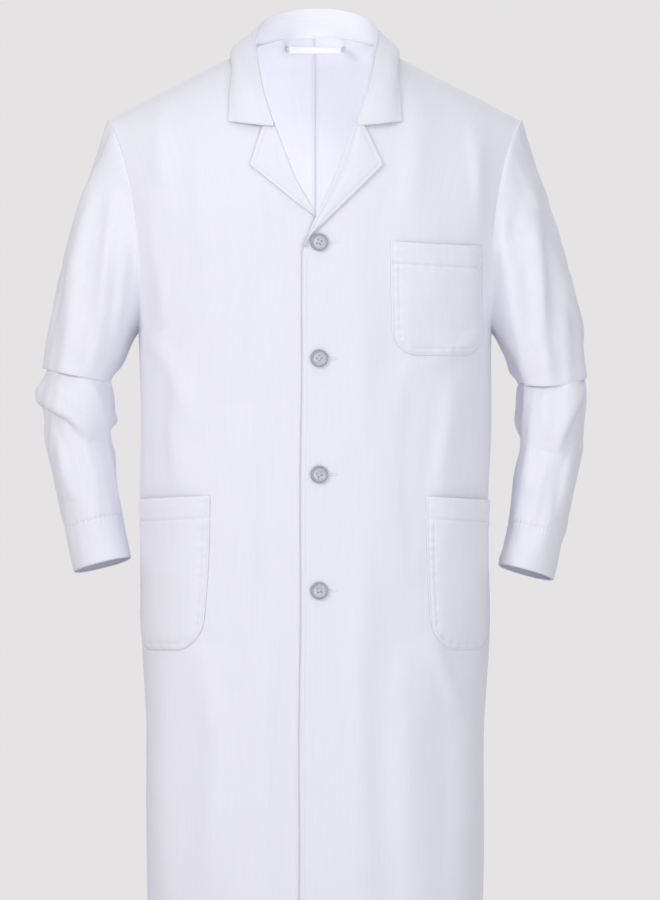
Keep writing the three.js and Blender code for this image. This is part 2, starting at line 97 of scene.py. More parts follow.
def soft_light(name, place, size, watts, colour, target=COAT_MIDDLE):
    """A square area light, out of the camera's sight, that looks at a point of the coat."""
    data = bpy.data.lights.new(name, "AREA")
    data.shape, data.size, data.energy, data.color = "SQUARE", size, watts, colour
    light = bpy.data.objects.new(name, data)
    light.location = place
    light.visible_camera = False
    aim = Vector(target) - Vector(place)
    light.rotation_euler = aim.to_track_quat("-Z", "Y").to_euler()
    bpy.context.scene.collection.objects.link(light)


soft_light("key_light", (-2.5, -2.5, 1.1), 1.6, 46, (1.0, 0.99, 0.985))
soft_light("fill_light", (1.2, -3.0, -0.3), 2.0, 33, (0.97, 0.98, 1.0))
soft_light("top_light", (0.1, -0.9, 1.9), 1.4, 8, (0.98, 0.985, 1.0))
soft_light("back_light", (0.6, 2.6, 1.2), 2.0, 40, (0.97, 0.98, 1.0))
soft_light("neck_light", (0, -0.080, -0.150), 0.12, 0.25, (0.98, 0.98, 1.0), (0, 0.1, -0.152))

world = bpy.data.worlds.new("pale_room")
world.use_nodes = True
sky = world.node_tree
room = sky.nodes["Background"]
room.inputs["Color"].default_value = (0.80, 0.81, 0.84, 1)
room.inputs["Strength"].default_value = 0.52
seen = sky.nodes.new("ShaderNodeBackground")
seen.inputs["Color"].default_value = (0.783, 0.768, 0.776, 1)
ray = sky.nodes.new("ShaderNodeLightPath")
pick = sky.nodes.new("ShaderNodeMixShader")
sky.links.new(ray.outputs["Is Camera Ray"], pick.inputs["Fac"])
sky.links.new(room.outputs["Background"], pick.inputs[1])
sky.links.new(seen.outputs["Background"], pick.inputs[2])
sky.links.new(pick.outputs["Shader"], sky.nodes["World Output"].inputs["Surface"])
bpy.context.scene.world = world


def grid_mesh(name, points, ring=False):
    """A mesh object over rows of points, with a UV map in metres of cloth."""
    rows, columns = points.shape[:2]
    last = columns if ring else columns - 1
    i, j = np.meshgrid(np.arange(rows - 1), np.arange(last), indexing="ij")
    k = (j + 1) % columns
    here, below = i * columns, (i + 1) * columns
    faces = np.stack([here + j, here + k, below + k, below + j], -1)
    mesh = bpy.data.meshes.new(name)
    mesh.from_pydata(points.reshape(-1, 3).tolist(), [], faces.reshape(-1, 4).tolist())
    across = np.zeros((rows, columns + 1))
    across[:, 1:columns] = np.cumsum(np.linalg.norm(np.diff(points, axis=1), axis=2), axis=1)
    across[:, columns] = across[:, columns - 1] + np.linalg.norm(points[:, 0] - points[:, -1], axis=1)
    across = across - across[:, [columns // 2]]
    down = np.zeros((rows, columns + 1))
    down[1:, :columns] = np.cumsum(np.linalg.norm(np.diff(points, axis=0), axis=2), axis=0)
    down[:, columns] = down[:, 0]
    corner_i = np.stack([i, i, i + 1, i + 1], -1)
    corner_j = np.stack([j, j + 1, j + 1, j], -1)
    uv = np.stack([across[corner_i, corner_j], down[corner_i, corner_j]], -1)
    mesh.uv_layers.new(name="cloth").data.foreach_set("uv", uv.astype(np.float32).ravel())
    mesh.shade_smooth()
    piece = bpy.data.objects.new(name, mesh)
    bpy.context.scene.collection.objects.link(piece)
    return piece


FLOOR_COLOUR = (0.72, 0.71, 0.715)
FLOOR_HALF = 3.3
FLOOR_DROP = 0.06

floor_level = cad_box[0][2] - FLOOR_DROP
tiles = np.linspace(-FLOOR_HALF, FLOOR_HALF, 9)
floor_points = np.stack(np.meshgrid(tiles, tiles, [floor_level], indexing="xy"), -1)[:, :, 0]
floor = grid_mesh("studio_floor", floor_points)
floor_paint = bpy.data.materials.new("studio_floor")
floor_paint.use_nodes = True
floor_shader = floor_paint.node_tree.nodes["Principled BSDF"]
floor_shader.inputs["Base Color"].default_value = (*FLOOR_COLOUR, 1)
floor_shader.inputs["Roughness"].default_value = 0.9
floor.data.materials.append(floor_paint)

# ---- Cloth ----------------------------------------------------------------------------------
# White polyester-cotton twill of about 200 g per square metre: a fine diagonal weave, faint
# warp streaks that run down every piece, and a cool cast where the cloth turns from the light.


def group_socket(tree, name, kind, value=None, out=False):
    """Adds one named socket to a node group."""
    socket = tree.interface.new_socket(name=name, in_out="OUTPUT" if out else "INPUT", socket_type=kind)
    if value is not None:
        socket.default_value = value
    return socket


def add_node(tree, kind, **settings):
    """A node with its properties, and its input values by name, set."""
    node = tree.nodes.new(kind)
    for key, value in settings.items():
        if key in node.inputs:
            node.inputs[key].default_value = value
        else:
            setattr(node, key, value)
    return node


WALE_TURN = math.radians(32)
STREAKS = (420, 14, 1)


def twill_group():
    """Height and tone of the twill, from a UV map in metres."""
    tree = bpy.data.node_groups.new("twill", "ShaderNodeTree")
    group_socket(tree, "Thread", "NodeSocketFloat", 1400.0)
    group_socket(tree, "Streak", "NodeSocketFloat", 1.0)
    group_socket(tree, "Tone", "NodeSocketFloat", out=True)
    group_socket(tree, "Height", "NodeSocketFloat", out=True)
    link = tree.links.new
    inside = tree.nodes.new("NodeGroupInput")
    outside = tree.nodes.new("NodeGroupOutput")
    uv = add_node(tree, "ShaderNodeUVMap", uv_map="cloth")
    turn = add_node(tree, "ShaderNodeVectorRotate", rotation_type="Z_AXIS", Angle=WALE_TURN)
    link(uv.outputs["UV"], turn.inputs["Vector"])
    wale = add_node(tree, "ShaderNodeTexWave", wave_type="BANDS", bands_direction="X", Distortion=0.6)
    link(turn.outputs["Vector"], wale.inputs["Vector"])
    link(inside.outputs["Thread"], wale.inputs["Scale"])
    stretch = add_node(tree, "ShaderNodeVectorMath", operation="MULTIPLY")
    stretch.inputs[1].default_value = STREAKS
    link(uv.outputs["UV"], stretch.inputs[0])
    streak = add_node(tree, "ShaderNodeTexNoise", noise_dimensions="2D", Scale=1.0, Detail=3.0)
    link(stretch.outputs["Vector"], streak.inputs["Vector"])
    slub = add_node(tree, "ShaderNodeTexNoise", noise_dimensions="2D", Scale=900.0, Detail=2.0)
    link(uv.outputs["UV"], slub.inputs["Vector"])
    soft = add_node(tree, "ShaderNodeMath", operation="MULTIPLY_ADD")
    link(streak.outputs["Fac"], soft.inputs[0])
    link(inside.outputs["Streak"], soft.inputs[1])
    link(slub.outputs["Fac"], soft.inputs[2])
    link(soft.outputs["Value"], outside.inputs["Tone"])
    height = add_node(tree, "ShaderNodeMath", operation="MULTIPLY_ADD")
    height.inputs[1].default_value = 0.5
    link(wale.outputs["Fac"], height.inputs[0])
    link(soft.outputs["Value"], height.inputs[2])
    link(height.outputs["Value"], outside.inputs["Height"])
    return tree


twill = twill_group()


def cloth_material(name, low, high, roughness=0.86, bump=0.25):
    """Twill between two tones, with a soft sheen."""
    paint = bpy.data.materials.new(name)
    paint.use_nodes = True
    tree = paint.node_tree
    shader = tree.nodes["Principled BSDF"]
    shader.inputs["Roughness"].default_value = roughness
    shader.inputs["Specular IOR Level"].default_value = 0.25
    shader.inputs["Sheen Weight"].default_value = 0.12
    shader.inputs["Sheen Roughness"].default_value = 0.5
    weave = add_node(tree, "ShaderNodeGroup", node_tree=twill)
    tones = add_node(tree, "ShaderNodeMapRange")
    tones.inputs["From Min"].default_value = 0.2
    tones.inputs["From Max"].default_value = 1.8
    tree.links.new(weave.outputs["Tone"], tones.inputs["Value"])
    blend = add_node(tree, "ShaderNodeMix", data_type="RGBA")
    blend.inputs[6].default_value = (*low, 1)
    blend.inputs[7].default_value = (*high, 1)
    tree.links.new(tones.outputs["Result"], blend.inputs["Factor"])
    tree.links.new(blend.outputs[2], shader.inputs["Base Color"])
    relief = add_node(tree, "ShaderNodeBump", Strength=bump, Distance=0.00012)
    tree.links.new(weave.outputs["Height"], relief.inputs["Height"])
    tree.links.new(relief.outputs["Normal"], shader.inputs["Normal"])
    return paint


white_twill = cloth_material("white_twill", (0.81, 0.805, 0.875), (0.88, 0.872, 0.94))

# ---- The form under the cloth -----------------------------------------------------------------
# The coat is filled out as on a wearer, so every panel follows one body: rounded over the
# shoulders, flat-oval below them, and open at the armholes, where the sleeves are sewn on.

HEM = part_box("left_back_panel")[0].z
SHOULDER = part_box("left_front_panel")[1].x
TIP = -0.078
NECK = 0.082
CHEST = 0.200
UNDERARM = -0.315
HEM_HALF = 0.190
FRONT_DEPTH, FRONT_DEPTH_HEM, BACK_DEPTH, WAIST_HOLLOW = 0.125, 0.135, 0.105, 0.016
FRONT_CROWN, BACK_CROWN = 0.200, 0.130
SQUARENESS = 2.5
BACK_NECK = 0.020
NECK_FOOT, NECK_RISE = -0.012, 0.55
WAIST, WAIST_REACH = -0.42, 0.17
RIDGE_ROUND = 0.030
ARMHOLE_CURVE = 3.2
SLOPE = -TIP / (math.hypot(SHOULDER, RIDGE_ROUND) - math.hypot(NECK, RIDGE_ROUND))


def smooth(low, high, value):
    """0 below low, 1 above high, and a soft step between them."""
    t = np.clip((np.asarray(value, float) - low) / (high - low), 0, 1)
    return t * t * (3 - 2 * t)


def mix(a, b, t):
    """From a at t = 0 to b at t = 1."""
    return a + (b - a) * t


def ridge(x):
    """Height of the shoulder line."""
    return SLOPE * (math.hypot(NECK, RIDGE_ROUND) - np.hypot(x, RIDGE_ROUND))


def half_width(z):
    """Half the body's width, from the hem to the shoulders."""
    return np.interp(z, [HEM, UNDERARM, TIP], [HEM_HALF, CHEST, SHOULDER + 0.016])


def fullness(x, z, crown):
    """0 on the shoulder line and at the sides, 1 in the middle below the shoulders."""
    side = np.clip(np.abs(x) / half_width(z), 0, 1)
    drop = np.clip((ridge(x) - z) / crown, 0, 1)
    return (1 - side**SQUARENESS) ** (1 / SQUARENESS) * np.sqrt(1 - (1 - drop) ** 2)


def front_y(x, z):
    """Depth of the front, from the plane of the side seams."""
    depth = mix(FRONT_DEPTH, FRONT_DEPTH_HEM, np.clip(z / HEM, 0, 1))
    return -depth * fullness(x, z, FRONT_CROWN)


def back_y(x, z):
    """Depth of the back, which stands upright at the neck."""
    z = z - NECK_RISE * np.clip(z - NECK_FOOT, 0, None) * np.clip(1 - (x / NECK) ** 2, 0, 1)
    waist = WAIST_HOLLOW * np.exp(-(((z - WAIST) / WAIST_REACH) ** 2))
    return (BACK_DEPTH - waist) * fullness(x, z, BACK_CROWN)


def armhole_x(z):
    """The armhole in the front view: nearly upright, then out to the shoulder."""
    rise = np.clip((z - UNDERARM) / (TIP - UNDERARM), 0, 1)
    return CHEST + (SHOULDER - CHEST) * rise**ARMHOLE_CURVE


def section_row(start, end, z, share):
    """x values from start to end, even in the angle of the body's level section."""
    width = half_width(z)

    def angle(x):
        return np.arcsin(np.clip(np.abs(x) / width, 0, 1) ** (SQUARENESS / 2)) * np.sign(x)

    turned = mix(angle(start), angle(end), share)
    return np.sign(turned) * width * np.abs(np.sin(turned)) ** (2 / SQUARENESS)


def normals_of(points, ring=False):
    """Unit normals of a grid of points."""
    down = np.gradient(points, axis=0)
    across = np.gradient(points, axis=1)
    if ring:
        across = (np.roll(points, -1, 1) - np.roll(points, 1, 1)) / 2
    normal = np.cross(across, down)
    return normal / np.maximum(np.linalg.norm(normal, axis=2, keepdims=True), 1e-12)


def facing(points, toward):
    """The grid, its rows reversed if need be, so that its middle faces that way."""
    middle = normals_of(points)[points.shape[0] // 2, points.shape[1] // 2]
    return points if middle @ np.array(toward) > 0 else points[::-1]


def cloth_noise(u, v, seed):
    """Smooth random heights from -1 to 1 over (u, v), one lump per unit."""
    size = 64
    lattice = np.random.default_rng(seed).uniform(-1, 1, (size, size))
    iu, iv = np.floor(u).astype(int), np.floor(v).astype(int)
    fu, fv = smooth(0, 1, u - iu), smooth(0, 1, v - iv)

    def at(a, b):
        return lattice[(iu + a) % size, (iv + b) % size]

    return mix(mix(at(0, 0), at(1, 0), fu), mix(at(0, 1), at(1, 1), fu), fv)


def fold(x, z, path, width, height, lean=0.0):
    """Height at (x, z) of a fold along a path of (x, z) points, fading at both ends. With a
    lean, one flank of it is steep and the other long."""
    points = np.array(path, float)
    lengths = np.linalg.norm(np.diff(points, axis=0), axis=1)
    starts = np.concatenate([[0], np.cumsum(lengths)])
    best = np.full(np.shape(x), 1e9)
    run = np.zeros(np.shape(x))
    signed = np.zeros(np.shape(x))
    for (a, b), length, start in zip(zip(points[:-1], points[1:]), lengths, starts):
        along = (b - a) / length
        t = np.clip(((x - a[0]) * along[0] + (z - a[1]) * along[1]), 0, length)
        dx, dz = x - a[0] - along[0] * t, z - a[1] - along[1] * t
        distance = np.hypot(dx, dz)
        nearer = distance < best
        best = np.where(nearer, distance, best)
        run = np.where(nearer, start + t, run)
        signed = np.where(nearer, along[0] * dz - along[1] * dx, signed)
    ends = np.sin(np.pi * np.clip(run / starts[-1], 0, 1)) ** 0.7
    flank = width * (1 + lean * np.tanh(signed / width))
    return height * ends * np.exp(-((best / flank) ** 2))


def drape(x, z, seed):
    """The soft upright waves of hanging cloth, wider and deeper towards the hem."""
    fall = np.clip(z / HEM, 0, 1)
    wave = cloth_noise(x / 0.075 + 9 + 1.5 * z, z / 0.42 + 7, seed)
    ripple = cloth_noise(x / 0.030 + 20, z / 0.16 + 3, seed + 1)
    return (0.0016 + 0.0042 * fall) * wave + 0.0006 * ripple


def settled(lift, x, z):
    """Fades a panel's lift to what it shares with its neighbours at its seams."""
    turn = np.arcsin(np.clip(np.abs(x) / half_width(z), 0, 1) ** (SQUARENESS / 2)) / (np.pi / 2)
    above = smooth(UNDERARM - 0.03, UNDERARM + 0.03, z)
    side = smooth(0.80, 0.99, turn) * (1 - above)
    arm = smooth(-0.035, -0.002, np.abs(x) - armhole_x(z)) * above
    top = smooth(-0.035, -0.003, z - ridge(x))
    held = 1 - (1 - side) * (1 - arm) * (1 - top)
    wave = 0.0045 * cloth_noise(z / 0.13 + 20, 4 + 3 * np.sign(x), 5) * smooth(-0.3, -0.5, z)
    return lift * (1 - held) + wave * side


def on_surface(surface, x, z, out, toward=-1, step=0.0002):
    """Points that far out from a surface y(x, z), and the unit normals there."""
    slope_x = (surface(x + step, z) - surface(x - step, z)) / (2 * step)
    slope_z = (surface(x, z + step) - surface(x, z - step)) / (2 * step)
    normal = np.stack([-slope_x, np.ones_like(slope_x), -slope_z], -1) * toward
    normal /= np.linalg.norm(normal, axis=-1, keepdims=True)
    base = np.stack([x, surface(x, z), z], -1)
    return base + normal * np.asarray(out)[..., None], normal


def pulled(points, offset, ring=False):
    """Moves each point of a grid out along its normal."""
    return points + normals_of(points, ring) * offset[..., None]


def cloth_piece(name, points, material, thickness=0.0009, ring=False):
    """A sheet of cloth, its wall inside a grid of points whose normals face out."""
    piece = grid_mesh(name, points, ring)
    piece.data.materials.append(material)
    wall = piece.modifiers.new("cloth", "SOLIDIFY")
    wall.thickness = thickness
    wall.offset = -1.0
    wall.use_even_offset = False
    return piece


# ---- Back -------------------------------------------------------------------------------------
# Two back panels joined by a seam down the middle, which shows inside the neck. Below it the
# left panel laps over a narrow underlap, so the skirt can part when the wearer walks.

VENT_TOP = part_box("back_vent_underlap")[1].z
VENT_STITCH = 0.0035


def panel_grid(surface, inner, neck, top_edge, columns, low_rows, top_rows):
    """Half of a body panel, in rows up from the hem, each from `inner` out to the seam."""
    share = np.linspace(0, 1, columns)
    rows = []
    for z in np.linspace(HEM, UNDERARM, low_rows)[:-1]:
        x = section_row(inner(z), half_width(z), z, share)
        rows.append(np.stack([x, surface(x, z), np.full(columns, z)], -1))
    for t in np.linspace(0, 1, top_rows):
        rise = 1 - (1 - t) ** 2
        low, high = mix(UNDERARM, neck, rise), mix(UNDERARM, TIP, rise)
        start, end = inner(low), armhole_x(high)
        x = section_row(start, end, (low + high) / 2, share)
        s = (x - start) / (end - start)
        draped = top_edge(x) - mix(top_edge(start) - low, top_edge(end) - high, s)
        z = mix(mix(low, high, s), draped, rise)
        rows.append(np.stack([x, surface(x, z), z], -1))
    return np.array(rows)


def back_top(x):
    """The neck seam, then the shoulder seam."""
    return np.where(np.abs(x) < NECK, BACK_NECK * (1 - (x / NECK) ** 2), ridge(x))


def back_lift(x, z):
    """How far the back's cloth stands off the form, with its middle seam pressed in."""
    side = np.sign(x)
    seam = np.abs(x)
    lift = drape(x + 2, z, 41) * smooth(0, 0.03, seam)
    lift += 0.004 * np.sin(x / 0.031 + 1.0) * smooth(-0.55, HEM, z) * smooth(0.0, 0.05, seam)
    lift -= 0.0012 * np.exp(-((seam / 0.0022) ** 2)) * smooth(VENT_TOP - 0.03, VENT_TOP, z)
    for path, width, height in (
        ([(0.12, -0.10), (0.13, -0.24), (0.16, -0.34)], 0.020, 0.006),
        ([(0.05, -0.33), (0.09, -0.45), (0.14, -0.52)], 0.022, 0.004),
    ):
        lift = lift + fold(seam, z, path, width, height)
    lift += 0.0016 * cloth_noise(seam / 0.05, z / 0.05 + side * 9, 8) * smooth(0.02, 0.08, seam)
    return settled(lift, x, z)


def back_shape(side):
    """A back panel from its hem to the neck and shoulder seams."""
    grid = panel_grid(back_y, lambda z: 0.0, BACK_NECK, back_top, 110, 150, 90)
    points = facing(grid * np.array([side, 1, 1]), (0, 1, 0))
    x, z = points[..., 0], points[..., 2]
    return pulled(points, back_lift(np.where(x == 0, side * 1e-6, x), z))


for side, name in ((1, "left"), (-1, "right")):
    back = cloth_piece(f"{name}_back", back_shape(side), white_twill)
    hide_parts(f"{name}_back_panel")
    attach(back, "coat")

# ---- Fronts -----------------------------------------------------------------------------------
# Each front is one cut panel from its front edge to the side seam. The wearer's left front laps
# over the right one; both are sewn to the back at the shoulders and sides.

LAP_STEP = 0.004
LAP_FADE = (0.045, 0.095)
BREAK = -0.228
ROLL_HEIGHTS = [BREAK, -0.145, -0.088, -0.043, 0.0]
ROLL_EDGES = [0.024, 0.046, 0.061, NECK]


def front_edge(side, z):
    """Front edge of a front, across from the centre; the left one drifts over to the hem."""
    fall = np.clip(z / HEM, 0, 1)
    drift = -0.0136 - 0.0050 * fall - 0.0006 * np.sin(z / 0.045) * smooth(-0.25, -0.35, z)
    return drift if side > 0 else np.full_like(drift, -0.024)


def inner_x(side, z):
    """Inner edge of a front: its front edge, then the roll line of its lapel."""
    z = np.asarray(z, float)
    rolled = np.interp(z, ROLL_HEIGHTS, [float(front_edge(side, BREAK)), *ROLL_EDGES])
    return np.where(z < BREAK, front_edge(side, z), rolled)


def front_surface(side):
    """The upper front stands off the lower one near the centre."""

    def surface(x, z):
        lap = LAP_STEP * (1 - smooth(*LAP_FADE, x)) if side > 0 else 0.0
        return front_y(x, z) - lap

    return surface


HEM_STITCH = 0.022
EDGE_STITCH = 0.006
FRONT_FOLDS = {
    1: [
        ([(0.158, -0.362), (0.150, -0.42), (0.136, -0.515)], 0.013, 0.0042, 0.3),
        ([(0.095, -0.352), (0.085, -0.47), (0.092, -0.62)], 0.017, 0.0030, -0.3),
        ([(0.130, -0.655), (0.146, -0.70), (0.165, -0.75)], 0.010, 0.0030, 0.0),
        ([(0.105, -0.67), (0.100, -0.80), (0.112, -0.97)], 0.022, 0.0060, 0.2),
        ([(0.165, -0.70), (0.172, -0.82), (0.168, -1.0)], 0.018, 0.0050, 0.0),
        ([(0.178, -0.075), (0.186, -0.15), (0.192, -0.235)], 0.011, 0.0034, 0.3),
        ([(0.120, -0.05), (0.112, -0.12), (0.104, -0.20)], 0.014, 0.0022, 0.0),
        ([(0.198, -0.30), (0.165, -0.335), (0.120, -0.355)], 0.009, 0.0026, 0.2),
        ([(0.030, -0.235), (0.055, -0.33), (0.050, -0.47)], 0.015, 0.0018, 0.0),
        ([(0.060, -0.52), (0.048, -0.70), (0.058, -0.98)], 0.016, 0.0030, 0.0),
    ],
    -1: [
        ([(0.178, -0.055), (0.176, -0.10), (0.170, -0.155)], 0.010, 0.0042, 0.3),
        ([(0.196, -0.19), (0.176, -0.26), (0.170, -0.33)], 0.012, 0.0040, 0.2),
        ([(0.095, -0.17), (0.086, -0.26), (0.100, -0.40)], 0.015, 0.0028, 0.0),
        ([(0.135, -0.10), (0.125, -0.21), (0.118, -0.34)], 0.013, 0.0022, 0.0),
        ([(0.198, -0.30), (0.160, -0.36), (0.130, -0.44)], 0.011, 0.0030, 0.0),
        ([(0.150, -0.36), (0.158, -0.43), (0.150, -0.51)], 0.012, 0.0034, -0.2),
        ([(0.080, -0.40), (0.074, -0.54), (0.086, -0.72)], 0.018, 0.0034, 0.2),
        ([(0.120, -0.67), (0.108, -0.80), (0.118, -0.98)], 0.021, 0.0058, -0.2),
        ([(0.170, -0.69), (0.176, -0.82), (0.168, -1.0)], 0.018, 0.0048, 0.0),
        ([(0.050, -0.62), (0.060, -0.78), (0.052, -1.0)], 0.016, 0.0030, 0.0),
    ],
}


def groove(distance, width=0.0013, depth=0.0005):
    """A stitched line presses the cloth down along itself."""
    return -depth * np.exp(-((distance / width) ** 2))


def front_lift(side, x, z):
    """How far a front's cloth stands off the form, at real x on that side's front."""
    own = side * x
    lift = drape(x, z, 11 + side) * smooth(0.03, 0.10, own)
    for path, width, height, lean in FRONT_FOLDS[side]:
        lift = lift + fold(own, z, path, width, height, lean)
    lift *= smooth(0.012, 0.05, own)
    lift += 0.0006 * cloth_noise(own / 0.022 + 4, z / 0.045 + 9, 19 + side) * smooth(0.02, 0.06, own)
    lift += 0.0008 * cloth_noise(z * 0 + 3.5, z / 0.10 + 6, 3) * smooth(-0.24, -0.32, z)
    return settled(lift, x, z)


def front_point(side, x, z, out=0.0):
    """Point on a front's cloth at real (x, z), moved out, and the normal there."""
    surface = front_surface(side)
    lift = front_lift(side, x, z) + out
    return on_surface(lambda a, b: surface(side * a, b), x, z, lift)


def rolled_edge(distance, height, width):
    """How far cloth turns down over its last stretch to a cut edge, as a quarter round."""
    return height * (1 - np.sqrt(1 - (1 - np.clip(distance / width, 0, 1)) ** 2))


def front_shape(side):
    """A front from its hem to the shoulder seam, with its edge and hem sewn."""
    grid = panel_grid(front_surface(side), lambda z: inner_x(side, z), 0.0, ridge, 124, 190, 110)
    points = facing(grid * np.array([side, 1, 1]), (0, -1, 0))
    x, z = points[..., 0], points[..., 2]
    lift = front_lift(side, x, z)
    inward = side * x - inner_x(side, z)
    below = smooth(BREAK, BREAK - 0.006, z)
    pucker = 0.00022 * np.sin(z / 0.0013 + 3 * np.sin(z / 0.02))
    pucker = pucker * np.exp(-(((inward - 0.004) / 0.004) ** 2))
    turned = rolled_edge(inward, 0.0016, 0.0016)
    lift = lift + (groove(inward - EDGE_STITCH) + pucker - turned) * below
    hem = z - HEM
    lift = lift + groove(hem - HEM_STITCH)
    lift = lift + 0.0004 * np.sin(x / 0.003) * np.exp(-(((hem - 0.016) / 0.010) ** 2))
    return pulled(points, lift)


def swing(piece, name):
    """Bakes a piece's placement into its mesh."""
    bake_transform(piece)


front_grids = {name: front_shape(side) for side, name in ((1, "left"), (-1, "right"))}
for name, points in front_grids.items():
    front = cloth_piece(f"{name}_front_cloth", points, white_twill)
    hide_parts(f"{name}_front_panel", f"{name}_front_flap")
    swing(front, name)

# The facing is a strip of the same cloth sewn inside each front edge, so that the edge is clean.

# Painted shade: the same twill, darker and bluer, for the cloth that lies inside or under other layers
# (the facings, the cuff hems and the vent underlap).
painted_shade_twill = cloth_material("painted_shade_twill", (0.70, 0.72, 0.82), (0.78, 0.80, 0.89))
FACING_WIDTH = 0.050
FACING_BEHIND = 0.0022


def facing_shape(side):
    """A strip behind the front's cloth, in rows up from the hem."""
    rows = []
    for z in np.linspace(HEM + 0.001, -0.10, 150):
        start = float(inner_x(side, z)) + 0.0012
        x = side * np.linspace(start, max(FACING_WIDTH, start + 0.02), 16)
        rows.append(front_point(side, x, np.full(16, z), -FACING_BEHIND)[0])
    return facing(np.array(rows), (0, 1, 0))


for side, name in ((1, "left"), (-1, "right")):
    # The facing wears the twill with painted shade.
    strip = cloth_piece(f"{name}_facing", facing_shape(side), painted_shade_twill, thickness=0.0007)
    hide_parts(f"{name}_front_facing")
    swing(strip, name)

# ---- Lapels -----------------------------------------------------------------------------------
# The top of each front is turned back on a soft roll and lies over the chest as a lapel of two
# layers with interfacing, pressed but not creased; its tip stands a little off the front.

LAPEL_TOP = -0.083
LAPEL_OUTLINE = {
    1: (
        [-0.2235, -0.218, -0.205, -0.180, -0.131, LAPEL_TOP],
        [-0.0135, -0.0115, 0.001, 0.027, 0.0765, 0.0535],
    ),
    -1: ([-0.192, -0.186, -0.170, -0.131, LAPEL_TOP], [-0.003, 0.004, 0.025, 0.0735, 0.0575]),
}
LAPEL_LAYERS = 0.0015
LAPEL_STITCH = 0.006


def lapel_rest(share):
    """How far the lapel's outer face stands off the front, from its roll to its edge."""
    return 0.0021 + 0.0024 * np.sin(np.pi * share) * (1 - 0.4 * share) + 0.0012 * share**6


def lapel_grid(side, rows=110, columns=56, roll=14):
    """A lapel in rows down from the notch, each round the roll and out to the edge."""
    heights, edges = LAPEL_OUTLINE[side]
    result = []
    for z in np.linspace(LAPEL_TOP, heights[0], rows):
        start, end = float(inner_x(side, z)), float(np.interp(z, heights, edges))
        width = max(end - start, 0.0006)
        radius = min(0.0021, 0.3 * width)
        turn = np.linspace(0, np.pi, roll)
        share = np.linspace(0, 1, columns)[1:]
        own = np.concatenate([start - radius * np.sin(turn), start + width * share])
        rest = mix(2 * radius, lapel_rest(share), smooth(0, 0.25, share))
        rest = rest - rolled_edge((1 - share) * width, 0.0010, 0.0016)
        rest = rest + groove((1 - share) * width - LAPEL_STITCH, 0.0011, 0.00035)
        out = np.concatenate([radius * (1 - np.cos(turn)), rest])
        result.append(front_point(side, side * own, np.full(len(own), z), out)[0])
    return np.array(result)


lapel_grids = {name: lapel_grid(side) for side, name in ((1, "left"), (-1, "right"))}
for name, points in lapel_grids.items():
    points = facing(points, (0, -1, 0))
    lapel = cloth_piece(f"{name}_lapel_cloth", points, white_twill, LAPEL_LAYERS)
    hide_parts(f"{name}_lapel")
    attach(lapel, "coat")

# ---- Collar -----------------------------------------------------------------------------------
# A notched collar in one with its stand: it rises from the neck seam, folds over along a soft
# line that runs on into the lapels, and falls to a leaf with two square corners.


COLLAR_LAYERS = 0.0013
COLLAR_STITCH = 0.006


def smooth_line(points, count):
    """Even samples of a smooth curve through the points."""
    points = np.asarray(points, float)
    padded = np.vstack([2 * points[0] - points[1], points, 2 * points[-1] - points[-2]])
    t = np.linspace(0, len(points) - 1, count)
    k = np.minimum(t.astype(int), len(points) - 2)
    f = (t - k)[:, None]
    a, b, c, d = padded[k], padded[k + 1], padded[k + 2], padded[k + 3]
    bend, twist = 2 * a - 5 * b + 4 * c - d, 3 * b - a - 3 * c + d
    return 0.5 * (2 * b + (c - a) * f + bend * f**2 + twist * f**3)


def round_neck(half, count=190):
    """A line round the neck from its half: points from the wearer's left front to the back."""
    half = np.array(half)
    other = half[:-1] * np.array([-1, 1, 1])
    return smooth_line(np.vstack([other, half[::-1]]), count)


def before(x, z, lift):
    """A point that far in front of the front's form."""
    return (x, float(front_surface(1)(x, z)) - lift, z)


def behind(x, z, lift):
    """A point that far behind the back's form."""
    return (x, float(back_y(x, z)) + lift, z)


collar_seam = round_neck([
    before(0.055, -0.060, -0.0026), before(0.067, -0.027, -0.009), before(0.078, -0.004, -0.010),
    behind(0.0765, -0.0005, -0.002), behind(0.052, 0.0095, -0.0022), behind(0.026, 0.0155, -0.0022),
    behind(0, 0.0175, -0.0022),
])
collar_fold = round_neck([
    before(0.046, -0.085, 0.003), before(0.059, -0.043, 0.004), before(0.066, -0.004, 0.004),
    (0.069, -0.010, 0.020), (0.060, 0.036, 0.038), (0.031, 0.063, 0.0495), (0, 0.069, 0.0525),
])
collar_edge = round_neck([
    before(0.0995, -0.081, 0.0030), before(0.0965, -0.045, 0.0046), before(0.0945, -0.018, 0.0080),
    (0.0965, 0.004, float(ridge(0.0965)) + 0.006), behind(0.084, -0.014, 0.0062),
    behind(0.046, -0.006, 0.0052), behind(0, 0.002, 0.0042),
])


def from_neck(points):
    """Level unit directions out from the middle of the neck."""
    outward = points - np.array([0, -0.010, 0])
    outward[:, 2] = 0
    return outward / np.linalg.norm(outward, axis=1, keepdims=True)


